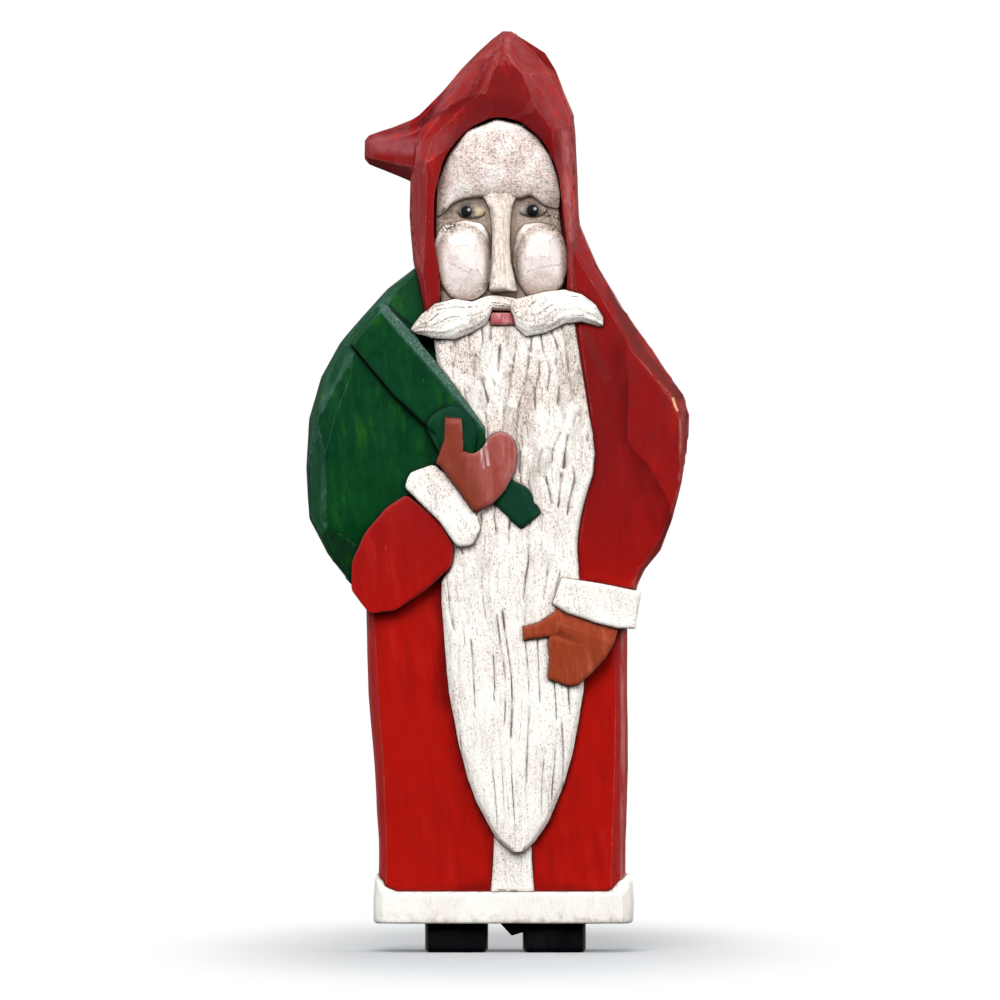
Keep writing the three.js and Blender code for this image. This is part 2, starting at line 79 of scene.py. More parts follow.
class Paint(Enum):
    """The paints on the figure, in the order of the mesh's material slots."""

    RED = 0
    GREEN = 1
    WHITE = 2
    SKIN = 3
    MITTEN = 4
    LOWER_MITTEN = 5
    BLACK = 6
    LIP = 7
    BARE = 8


def smoothstep(value: Array | float, low: float, high: float) -> Array:
    """Gives 0 below low, 1 above high and a smooth step between them."""
    t = np.clip((np.asarray(value, dtype=float) - low) / (high - low), 0, 1)
    return t * t * (3 - 2 * t)


def resampled(points: Array, cell: float, closed: bool = True) -> Array:
    """Divides every straight stretch of a chain of points into equal steps no longer than a cell.

    Args:
        points: The chain's corners, one row each.
        cell: The longest step.
        closed: Whether the last corner joins the first.

    Returns:
        The corners with the new points between them.
    """
    ends = np.roll(points, -1, axis=0) if closed else points[1:]
    starts = points if closed else points[:-1]
    steps = np.maximum(1, np.round(np.linalg.norm(ends - starts, axis=1) / cell)).astype(int)
    part = np.concatenate([np.arange(n) / n for n in steps])[:, None]
    dense = np.repeat(starts, steps, axis=0) * (1 - part) + np.repeat(ends, steps, axis=0) * part
    return dense if closed else np.vstack([dense, points[-1:]])


def softened(points: Outline, cell: float, radius: float) -> Array:
    """Rounds the corners of an outline.

    The outline is divided evenly, and each point becomes the mean of its neighbours within a radius,
    twice over.

    Args:
        points: The outline's corners.
        cell: The step between the returned points, in hundredths of the height.
        radius: How far the neighbours reach, in hundredths.

    Returns:
        The outline's points, one row each.
    """
    dense = resampled(np.asarray(points, dtype=float), cell)
    reach = max(1, round(radius / cell))
    for _ in range(2):
        dense = np.mean([np.roll(dense, shift, axis=0) for shift in range(-reach, reach + 1)], axis=0)
    return dense


def flat(a: Spot, b: Spot, c: Spot) -> Cut:
    """Makes a flat knife cut through three spots, each given by x, z and depth.

    The depth is a plane: a constant plus a share of x and a share of z.
    """
    spots = np.array([a, b, c])
    start, by_x, by_z = np.linalg.solve(np.column_stack([np.ones(3), spots[:, :2]]), spots[:, 2])
    return lambda x, z: start + by_x * x + by_z * z


def gouge(a: Spot, b: Spot, width: float, rise: float) -> Cut:
    """Makes a hollow gouge cut along a line from one spot to another.

    The depth is the line's own, plus a rise times the square of the distance from the line over the
    gouge's width.

    Args:
        a, b: The line's two ends, each given by x, z and depth.
        width: How far from the line the rise is reached, in hundredths.
        rise: How much further forward the cut is there, in millimetres.

    Returns:
        The cut.
    """
    start, end = np.array(a), np.array(b)
    along = end[:2] - start[:2]

    def cut(x: Array, z: Array) -> Array:
        """Gives the gouge's depth at a place."""
        share = np.clip(((x - start[0]) * along[0] + (z - start[1]) * along[1]) / (along @ along), 0, 1)
        away = np.hypot(x - start[0] - share * along[0], z - start[1] - share * along[1])
        return start[2] + share * (end[2] - start[2]) + rise * (away / width) ** 2

    return cut


def added(name: str, data: Any) -> bpy.types.Object:
    """Adds an object with a mesh, a light or a camera to the scene."""
    made = bpy.data.objects.new(name, data)
    bpy.context.scene.collection.objects.link(made)
    return made


def note(data: bpy.types.Mesh, values: dict[str, Array]) -> None:
    """Writes numbers for a mesh's points as named attributes."""
    for name, numbers in values.items():
        data.attributes.new(name, "FLOAT", "POINT").data.foreach_set("value", numbers.astype(np.float32))


@dataclass
class Skin:
    """A closed skin of triangles.

    Attributes:
        points: The points in millimetres, one row each.
        faces: The numbers of each triangle's three points.
        stain: How dark the wash at each point is, from 0 to 1.
        edge: 1 at the points on a ridge between two cuts, else 0.
        floor: How far back a cut may push each point, in millimetres forward of the middle plane.
        cell: The distance between the points in front, in millimetres.
    """

    points: Array
    faces: Array
    stain: Array
    edge: Array
    floor: Array
    cell: float = 1.0

    @classmethod
    def over(cls, rings: Array, cell: float, stain: Array | None = None, edge: Array | None = None,
             floor: Array | float = 2.0) -> "Skin":
        """Skins rings of points, closed at both ends by a fan.

        Args:
            rings: Points in millimetres, as levels by points by three.
            cell: The distance between the points in front.
            stain: The wash, as levels by points.
            edge: Which points lie on a ridge, as levels by points.
            floor: How far back a cut may push the points, for each level.

        Returns:
            The skin.
        """
        count_levels, count, _ = rings.shape
        full = lambda values: np.concatenate([np.broadcast_to(values, (count_levels, count)).ravel(), [0, 0]])
        points = np.vstack([rings.reshape(-1, 3), rings[0].mean(axis=0), rings[-1].mean(axis=0)])
        i = np.arange(count)
        j = np.roll(i, -1)
        base = (np.arange(count_levels - 1) * count)[:, None]
        quads = np.stack([base + i, base + j, base + j + count, base + i + count], axis=-1).reshape(-1, 4)
        top = (count_levels - 1) * count
        faces = np.concatenate([
            quads[:, [0, 1, 2]], quads[:, [0, 2, 3]],
            np.column_stack([j, i, np.full(count, len(points) - 2)]),
            np.column_stack([top + i, top + j, np.full(count, len(points) - 1)]),
        ])
        return cls(points, faces, full(0 if stain is None else stain), full(0 if edge is None else edge),
                   full(floor), cell)

    def carved(self, *cuts: Cut) -> "Skin":
        """Lowers the front to the lowest of a few knife cuts.

        A cut gives the most that the front may stand forward at a place, and the sides and the back stay.
        Where the two lowest cuts meet within half a cell of a point, the point moves onto the ridge
        between them: against the slope of their difference, by the difference over that slope.

        Args:
            cuts: The cuts, each a function of x and z in hundredths.

        Returns:
            The carved skin.
        """
        x, z = self.points[:, 0] / SHARE, self.points[:, 2] / SHARE
        depth = -self.points[:, 1]
        heights = lambda x, z: np.stack([np.broadcast_to(cut(x, z), x.shape) for cut in cuts] + [depth])
        step = 1e-3
        here = heights(x, z)
        by_x, by_z = (heights(x + step, z) - here) / step, (heights(x, z + step) - here) / step
        order = np.argsort(here, axis=0)
        ranked = lambda values, rank: np.take_along_axis(values, order[rank:rank + 1], 0)[0]
        pick = lambda values: ranked(values, 1) - ranked(values, 0)
        gap, slope_x, slope_z = pick(here), pick(by_x), pick(by_z)
        slope = slope_x**2 + slope_z**2
        least_turn = 0.14 * SHARE
        in_front = depth > self.floor + 0.5
        snapped = in_front & (slope > least_turn**2) & (gap * SHARE < 0.5 * self.cell * np.sqrt(slope))
        back = np.where(snapped, gap / np.maximum(slope, 1e-9), 0)
        x, z = x - back * slope_x, z - back * slope_z
        lowest = np.maximum(heights(x, z).min(axis=0), self.floor)
        depth = np.where(in_front, np.minimum(depth, lowest), depth)
        points = np.column_stack([x * SHARE, -depth, z * SHARE])
        return Skin(points, self.faces, self.stain, np.maximum(self.edge, snapped), self.floor, self.cell)

    def mesh(self, name: str, paint: Paint, form: int) -> bpy.types.Object:
        """Makes the skin an object in metres with its faces pointing out.

        Args:
            name: The object's name.
            paint: The paint that its faces carry.
            form: The number that tells this form's faces from the others after the forms are joined.

        Returns:
            The object.
        """
        points, tris = self.points * MM, self.faces
        a, b, c = (points[tris[:, k]] for k in range(3))
        if np.einsum("ij,ij->i", a, np.cross(b, c)).sum() < 0:
            tris = tris[:, ::-1]
        data = bpy.data.meshes.new(name)
        data.vertices.add(len(points))
        data.vertices.foreach_set("co", points.ravel())
        data.loops.add(3 * len(tris))
        data.loops.foreach_set("vertex_index", tris.ravel().astype(np.int32))
        data.polygons.add(len(tris))
        data.polygons.foreach_set("loop_start", np.arange(len(tris), dtype=np.int32) * 3)
        data.update(calc_edges=True)
        for label, number in (("form", form), ("paint", paint.value)):
            numbers = np.full(len(tris), number, dtype=np.int32)
            data.attributes.new(label, "INT", "FACE").data.foreach_set("value", numbers)
        note(data, {"stain": self.stain, "edge": self.edge})
        return added(name, data)


def levels(rows: Sequence[Sequence[float]], depths: Pair, cell: float,
           side_rise: Array | float = 0.0, behind: float = 2.4) -> Skin:
    """Skins an upright form over its levels.

    Each level has a flat front and back between two ridges and slanting cuts to the two sides. Between
    two given levels every corner runs straight, so that the form keeps the flat cuts of a knife.

    Args:
        rows: One row a level: height, left, left ridge, right ridge and right in hundredths, and what the two
            depths are multiplied by.
        depths: The form's front and back depths in millimetres.
        cell: The size of the skin's cells in millimetres.
        side_rise: How far the two sides stand above each level, in millimetres.
        behind: The size of the cells on the sides and the back.

    Returns:
        The skin.
    """
    bevel, crown, front_side, back_side, carving_floor = 0.3, 0.03, 0.5, 0.45, 0.52
    given = np.array(rows, dtype=float) * [SHARE, 1, 1, 1, 1, *depths]
    given = np.column_stack([given, np.broadcast_to(side_rise, len(given))])
    pairs = np.stack([given[:-1], given[1:]], axis=1)
    dense = [resampled(pair, cell, False)[:-1] if pair[1, 0] - pair[0, 0] > cell else pair[:1]
             for pair in pairs]
    z, left, ridge_left, ridge_right, right, front, back, rise = np.vstack([*dense, given[-1:]]).T
    side_front, side_back = front_side * front, back_side * back
    middle = (ridge_left + ridge_right) / 2

    def at(x: Array, depth: Array, up: Array | float = 0.0) -> Array:
        """Places one corner at every level."""
        return np.stack([x * SHARE, -depth, z + up], axis=-1)

    def cut(side: Array, ridge: Array, flat: Array, face: Array) -> Array:
        """Places the corner where the slanting cut turns towards the side."""
        return at(side + (ridge - side) * bevel, flat + (face - flat) * (1 - bevel), rise * (1 - bevel))

    corners = np.stack([
        at(ridge_left, front), at(middle, front * (1 + crown)), at(ridge_right, front),
        cut(right, ridge_right, side_front, front), at(right, side_front, rise), at(right, -side_back, rise),
        cut(right, ridge_right, -side_back, -back), at(ridge_right, -back), at(middle, -back * (1 + crown)),
        at(ridge_left, -back), cut(left, ridge_left, -side_back, -back), at(left, -side_back, rise),
        at(left, side_front, rise), cut(left, ridge_left, side_front, front),
    ], axis=1)
    ridges = [1, 0, 1, 1, 1, 1, 1, 1, 0, 1, 1, 1, 1, 1]
    rings, edge = divided(corners, np.array([cell] * 4 + [behind] * 8 + [cell] * 2), ridges)
    return Skin.over(rings, cell, None, edge, carving_floor * front[:, None])


def divided(corners: Array, cell: Array | float, ridges: Sequence[int]) -> tuple[Array, Array]:
    """Divides each side of every ring into as many steps as its longest copy needs, so that the rings match.

    Args:
        corners: The rings' corners, as levels by corners by three.
        cell: The longest step on each side.
        ridges: Which corners are ridges, 1 or 0 for each.

    Returns:
        The rings, and which of their points lie on a ridge.
    """
    ends = np.roll(corners, -1, axis=1)
    longest = np.linalg.norm(ends - corners, axis=2).max(axis=0)
    steps = np.maximum(1, np.ceil(longest / cell)).astype(int)
    part = np.concatenate([np.arange(n) / n for n in steps])[None, :, None]
    rings = np.repeat(corners, steps, axis=1) * (1 - part) + np.repeat(ends, steps, axis=1) * part
    return rings, (np.repeat(ridges, steps) * (part[0, :, 0] == 0))[None, :]


def walled(face: Array, root: float, steps: int, cell: float, stain: Array) -> Skin:
    """Skins a field of points, with a wall from both ends of each of its rows back to a root.

    Args:
        face: The field's points in millimetres, as rows by points by three.
        root: The depth that the walls end at.
        steps: The number of steps of each wall.
        cell: The distance between the field's points.
        stain: The wash on the field.

    Returns:
        The skin.
    """
    def wall(ends: Array, share: Array) -> Array:
        """Takes each row's end by a share of the way back to the root."""
        made = np.repeat(ends, steps, axis=1)
        made[..., 1] = ends[..., 1] + (-root - ends[..., 1]) * share
        return made

    share = np.linspace(0, 1, steps + 1)[1:]
    rings = np.concatenate([face, wall(face[:, -1:], share), wall(face[:, :1], 1 - share + share[0])], axis=1)
    return Skin.over(rings, cell, np.pad(stain, ((0, 0), (0, 2 * steps))))


@dataclass
class Slab:
    """A raised form: an outline seen from the front, with an upright wall and a rounded-over edge.

    Attributes:
        outline: The outline's points in hundredths of the height.
        root: The depth that the form grows from, inside the body.
        front: The depth of its face.
        rounding: How far its edge falls from its face, in millimetres.
        reach: How far in from its edge the rounding begins, in millimetres.
        lean: What a point's place adds to its depth.
        cell: The distance between its points in millimetres.
    """

    outline: Array
    root: float
    front: float
    rounding: float = 0.8
    reach: float = 1.1
    lean: Callable[[Array, Array], Array] | None = None
    cell: float = 0.75

    def skin(self) -> Skin:
        """Builds the form: a face of even triangles over its outline, a wall down to its root and a bottom.

        Towards the edge the face's depth falls as a quarter circle of the distance to the edge over the
        reach.

        Returns:
            The skin.
        """
        step = self.cell / SHARE
        rim = resampled(np.asarray(self.outline, dtype=float), step)
        flat_points = np.vstack([rim, self.filling(rim, step)])
        flat_points, faces = self.triangles(flat_points, len(rim))
        away = self.way_in(flat_points, rim) * SHARE
        fall = self.rounding * (1 - np.sqrt(1 - (1 - np.minimum(away / self.reach, 1)) ** 2))
        lean = 0 * away if self.lean is None else self.lean(*flat_points.T)
        across, up = flat_points.T * SHARE
        face = np.column_stack([across, fall - self.front - lean, up])
        shown, count, foot = 7.0, len(rim), self.front - self.rounding
        lowest_shown = max(self.root, foot - shown)
        depths = np.append(np.arange(foot - self.cell, lowest_shown, -self.cell), self.root)
        share = smoothstep(depths, self.root, foot)[:, None]
        level = 0 * share
        wall = np.stack([rim[:, 0] * SHARE + level, -depths[:, None] - share * lean[:count],
                         rim[:, 1] * SHARE + level], axis=-1)
        bottom = np.column_stack([face[count:, 0], np.full(len(face) - count, -self.root), face[count:, 2]])
        points = np.vstack([face, wall.reshape(-1, 3), bottom])
        i = np.arange(count)
        j = np.roll(i, -1)
        rows = [i] + [len(face) + row * count + i for row in range(len(depths))]
        sides = [np.column_stack([a, a[j], b[j]]) for a, b in zip(rows[:-1], rows[1:])]
        sides += [np.column_stack([a, b[j], b]) for a, b in zip(rows[:-1], rows[1:])]
        under = np.concatenate([rows[-1], len(face) + len(depths) * count + np.arange(len(bottom))])
        a, b, c = (face[faces[:, k]][:, [0, 2]] for k in range(3))
        turned = ((b - a)[:, 0] * (c - a)[:, 1] - (b - a)[:, 1] * (c - a)[:, 0]).sum() > 0
        ring = rim[j] - rim
        turns = (rim[:, 0] * ring[:, 1] - rim[:, 1] * ring[:, 0]).sum() > 0
        faces = faces if turned == turns else faces[:, ::-1]
        triangles = np.concatenate([faces[:, ::-1], *sides, under[faces]])
        sharp_below = 1.2
        stain, edge = np.zeros((2, len(points)))
        edge[:count] = self.rounding < sharp_below
        return Skin(points, triangles, stain, edge, np.full(len(points), self.root), self.cell)

    @staticmethod
    def filling(rim: Array, step: float) -> Array:
        """Lays rows of points inside the rim, every second row shifted by half a step, clear of the rim.

        Args:
            rim: The rim's points in order.
            step: The distance between the points.

        Returns:
            The points, one row each.
        """
        low, high = rim.min(axis=0), rim.max(axis=0)
        across, up = np.meshgrid(np.arange(low[0], high[0], step), np.arange(low[1], high[1], step * 0.866))
        across = across + step / 2 * (np.arange(len(across)) % 2)[:, None]
        points = np.column_stack([across.ravel(), up.ravel()])
        ends = np.roll(rim, -1, axis=0)
        above = (rim[:, 1] > points[:, 1:]) != (ends[:, 1] > points[:, 1:])
        rise = np.where(ends[:, 1] == rim[:, 1], 1e-9, ends[:, 1] - rim[:, 1])
        crossing = rim[:, 0] + (points[:, 1:] - rim[:, 1]) / rise * (ends[:, 0] - rim[:, 0])
        inside = (above & (points[:, :1] < crossing)).sum(axis=1) % 2 == 1
        return points[inside & (Slab.way_in(points, rim) > 0.55 * step)]

    @staticmethod
    def way_in(points: Array, rim: Array) -> Array:
        """Measures how far each point is from the rim: the least distance to its straight stretches.

        Args:
            points: The points, one row each.
            rim: The rim's points in order.

        Returns:
            Each point's distance.
        """
        ends = np.roll(rim, -1, axis=0)
        way = ends - rim
        off = points[:, None] - rim[None]
        share = np.clip((off * way).sum(axis=-1) / np.maximum((way**2).sum(axis=-1), 1e-12), 0, 1)
        return np.linalg.norm(off - share[..., None] * way, axis=-1).min(axis=1)

    @staticmethod
    def triangles(points: Array, count: int) -> tuple[Array, Array]:
        """Joins points by even triangles inside the rim, which is the first points in order."""
        made = delaunay_2d_cdt([tuple(map(float, p)) for p in points], [], [list(range(count))], 1, 1e-6)
        return np.array([tuple(p) for p in made[0]]), np.array(made[2])


@dataclass
class Form:
    """One named form of the carving.

    Attributes:
        name: What it is.
        skin: Its skin.
        paint: The paint on it.
        cuts_away: Whether it is cut away from the forms before it.
        part: What it runs into without a seam, if anything.
    """

    name: str
    skin: Skin
    paint: Paint
    cuts_away: bool = False
    part: str = ""

    @classmethod
    def raised(cls, name: str, paint: Paint, outline: Outline, root: float, front: float,
               edge: Pair, *cuts: Cut, soft: float = 0.0, cuts_away: bool = False,
               part: str = "", lean: Cut | None = None, cell: float = 0.75) -> "Form":
        """Makes a form that is raised from an outline and then cut with the knife.

        Args:
            name, paint, cuts_away, part: The form's own fields.
            outline, root, front, lean, cell: The slab's own fields.
            edge: The slab's rounding and its reach.
            cuts: The knife's cuts in the form's face.
            soft: How far the outline's corners are rounded, in hundredths.

        Returns:
            The form.
        """
        shape = softened(outline, cell / SHARE, soft) if soft else np.array(outline)
        skin = Slab(shape, root, front, *edge, lean, cell).skin()
        return cls(name, skin.carved(*cuts) if cuts else skin, paint, cuts_away, part)


@dataclass
class Coat:
    """The long coat with its fur hem, the strip of trim under the beard and the two boots.

    A piece's front and back are its depths from the block's middle plane, proud says how far it stands
    out of the coat, and the side rise how far the hem climbs the sides.
    """

    front: float = 20
    back: float = 22
    boot_height: float = 9.4
    boot_width: float = 20.6
    boot_gap: float = 11.2
    boot_front: float = 19
    boot_back: float = 17
    hem_height: float = 10.3
    hem_proud: float = 2.4
    hem_side_rise: float = 5.5
    strip_width: float = 13
    strip_proud: float = 1.1

    @property
    def boot_top(self) -> float:
        """The height of the hem's lower edge, in hundredths."""
        return self.boot_height / SHARE

    @property
    def hem_top(self) -> float:
        """The height of the hem's upper edge, in hundredths."""
        return (self.boot_height + self.hem_height) / SHARE

    def body(self) -> Form:
        """Makes the coat from inside the hem to the shoulders."""
        rows = [
            [self.boot_top + 0.6, -12.8, -12, 12.3, 14, 1, 1],
            [12, -12.8, -12, 12.5, 14, 1, 1],
            [20, -13.3, -12.3, 12.8, 14.3, 1, 1],
            [28, -14, -12.9, 12.9, 14.2, 1, 1],
            [37, -14.2, -13.4, 12.6, 14.2, 1, 1],
            [50, -11, -5, 9, 12.5, 1, 1],
            [70, -8.4, -7, 7, 9, 1, 1],
        ]
        return Form("coat", levels(rows, (self.front, self.back), 1.9, behind=3.2), Paint.RED, part="robe")

    def trim(self) -> list[Form]:
        """Lists the strip, the hem, the two boots and the web of uncut wood between them."""
        left, top = -7.8, self.boot_top
        right = left + (self.boot_width + self.boot_gap) / SHARE
        web = [
            (right - 2.6, top + 0.8), (right - 2.5, top), (right - 1.2, 1.7), (right + 0.4, 2.2),
            (right + 0.4, top + 0.8),
        ]
        return [
            self.strip(), self.hem(), self.boot("boot_left", left), self.boot("boot_right", right),
            Form.raised("boot_web", Paint.BARE, web, -9, 9, (1.5, 2)),
        ]

    def hem(self) -> Form:
        """Makes the hem, whose upper edge climbs round the sides.

        Returns:
            The form.
        """
        front, back, worn = self.front + self.hem_proud, self.back + self.hem_proud, 0.35
        middle = (self.boot_top + self.hem_top) / 2
        rows = [
            [self.boot_top, -13.2, -12.4, 13.6, 14.6, front - worn, back - worn],
            [self.boot_top + 0.25, -13.4, -12.5, 13.7, 14.8, front, back],
            [middle, -13.4, -12.5, 13.7, 14.9, front, back],
            [self.hem_top - 0.2, -13.2, -12.4, 13.7, 14.7, front, back],
            [self.hem_top, -13.1, -12.3, 13.5, 14.5, front - worn, back - worn],
        ]
        rise = self.hem_side_rise * np.array([0, 0, 1 / 3, 0.8, 1])
        return Form("hem", levels(rows, (1, 1), 1.0, rise, 2.0), Paint.WHITE)

    def strip(self) -> Form:
        """Makes the upright strip between the beard's tip and the hem, a little wider at its foot.

        Returns:
            The form.
        """
        middle, half, flare, top = 1.7, self.strip_width / 2 / SHARE, 0.25, 14
        foot, narrow = self.hem_top - 0.8, self.hem_top + 2.5
        outline = [
            (middle - half - flare, foot), (middle + half + flare, foot), (middle + half, narrow),
            (middle + half - flare, top), (middle - half + flare, top), (middle - half, narrow),
        ]
        front = self.front + self.strip_proud + 0.6
        return Form.raised("strip", Paint.WHITE, outline, 17, front, (0.5, 0.8), cell=1.0)

    def boot(self, name: str, left: float) -> Form:
        """Makes the boot whose outer edge is at the given x in hundredths."""
        right, worn = left + self.boot_width / SHARE, 0.35
        front, back = self.boot_front, self.boot_back
        rows = [
            [0, left + 0.2, left + 0.6, right - 0.6, right - 0.2, front - 0.7, back - 0.7],
            [0.3, left, left + worn, right - worn, right, front, back],
            [self.boot_top, left, left + worn, right - worn, right, front - 1.5, back],
            [self.boot_top + 1.5, left, left + worn, right - worn, right, front - 2.5, back - 1],
        ]
        return Form(name, levels(rows, (1, 1), 0.8), Paint.BLACK)


@dataclass
class Hood:
    """The pointed hood with its drooping tip, and the arched opening for the face."""

    front: float = 26.5
    back: float = 24
    floor: float = 17

    def forms(self) -> list[Form]:
        """Lists the hood, its tip and the cut for the face."""
        return [
            Form("hood", self.body(), Paint.RED, part="robe"),
            Form("hood_tip", self.tip(), Paint.RED, part="robe"),
            Form("opening", self.opening(), Paint.RED, True, "robe"),
        ]

    def body(self) -> Skin:
        """Skins the hood from the shoulders to its peak.

        Returns:
            The skin.
        """
        rows = [
            [60, -7.2, -6.2, 7, 8.2, 0.76, 0.88],
            [65, -7.6, -6.7, 7.4, 8.6, 0.88, 0.95],
            [70, -8.1, -7.6, 8, 9.2, 0.93, 1],
            [75, -9.1, -8.1, 8.2, 9.6, 0.99, 1.01],
            [80, -9.5, -8.5, 7.9, 8.9, 1, 1.02],
            [84, -9.4, -8.3, 7.5, 8.8, 1, 1],
            [88, -9, -7, 6.9, 8.6, 0.98, 0.95],
            [89.4, -9.6, -5.9, 6.6, 8.5, 0.96, 0.92],
            [90.2, -9.3, -4.9, 6.4, 8.4, 0.94, 0.9],
            [90.8, -8.5, -4.4, 6.3, 8.4, 0.93, 0.88],
            [93.4, -5.9, -1.6, 4.9, 7.3, 0.82, 0.76],
            [95.8, -3.9, -0.5, 2.9, 6.4, 0.68, 0.64],
            [97.6, -2.2, -0.2, 1.7, 5.3, 0.52, 0.5],
            [99.1, -0.6, 0.4, 0.9, 3, 0.32, 0.32],
            [100, 0.6, 0.8, 1, 1.6, 0.12, 0.14],
        ]
        peak, right_ridge, left_ridge = (0.8, 99, 9.5), (5.2, 92.6, 22.8), (-1.1, 93.2, 21.8)
        right_of_peak = flat(peak, right_ridge, (7.6, 93.8, 12.5))
        right_edge = flat((5.8, 96.4, 8.5), (7.9, 91.4, 15.5), (8.6, 95, 5))
        right_rim = flat((7.6, 80, 26.3), (6.6, 88, 24.5), (8.9, 84, 20))
        right_side = flat((8, 78, 26), (8.1, 72, 25), (9.6, 75, 18))
        left_of_peak = flat((-0.25, 97, 15), left_ridge, (-2.9, 95.6, 14.2))
        brow_band = flat((-2.8, 92.6, 21.6), (2.8, 94.4, 20), (0, 90.8, 24.6))
        leaf = flat((-2.75, 96.2, 15.5), (-5.4, 91, 22), (-5.2, 94.4, 9.5))
        left_rim = flat((-7.8, 82, 26), (-8.1, 72, 25.6), (-9.6, 77, 19))
        trough = gouge((-1.5, 97.6, 13.2), (-2.7, 93, 20), 1.2, 1.3)
        sweep = gouge((-2.7, 93, 20), (-9.4, 89.2, 17.6), 1.5, 1.2)
        return levels(rows, (self.front, self.back), 1.1).carved(
            right_of_peak, right_edge, right_rim, right_side, left_of_peak, brow_band, leaf, left_rim, trough,
            sweep,
        )

    def tip(self) -> Skin:
        """Skins the drooping tip over cuts across its length, each with ridges near its top and bottom.

        Returns:
            The skin.
        """
        x, low, high, half = resampled(np.array([
            [-14.4, 86.1, 88.1, 5],
            [-13.9, 85.5, 88.7, 8],
            [-11.4, 84.5, 89.5, 11],
            [-9.2, 83.6, 90.4, 15],
            [-6.4, 84.5, 92.2, 12],
            [-2.8, 86, 93, 11],
        ]), 1.2, False).T
        ridge = high - (high - low) * 0.24
        under = low + (high - low) * 0.22
        at = lambda z, depth: np.stack([x * SHARE, -depth, z * SHARE], axis=-1)
        corners = np.stack([
            at(high, 0.45 * half), at(ridge, half), at(under, half), at(low, 0.55 * half),
            at(low, -0.45 * half), at(under, -0.9 * half), at(ridge, -0.95 * half), at(high, -0.4 * half),
        ], axis=1)
        rings, edge = divided(corners, 1.0, [0, 1, 1, 0, 0, 1, 1, 0])
        return Skin.over(rings, 1.0, None, edge)

    def opening(self) -> Skin:
        """Skins the solid that is cut away for the face.

        Returns:
            The skin.
        """
        arch = [
            (-6.2, 66), (-6.1, 73.1), (-6.9, 77.7), (-6.8, 81.9), (-5.7, 86.1), (-3.4, 89.1), (-0.2, 90.6),
            (2.6, 90.1), (5.1, 87.9), (6.7, 84.4), (7.1, 80.5), (7.6, 76.5), (7.6, 72), (7.2, 66),
        ]
        cell, step, clear = 0.9, 1.1, 3
        across, up = softened(arch, cell / SHARE, 0.9).T * SHARE
        depths = np.append(np.arange(self.floor, self.front + clear, step), 2 * self.front)
        rings = np.stack([np.column_stack([across, np.full(len(across), -depth), up]) for depth in depths])
        return Skin.over(rings, cell)


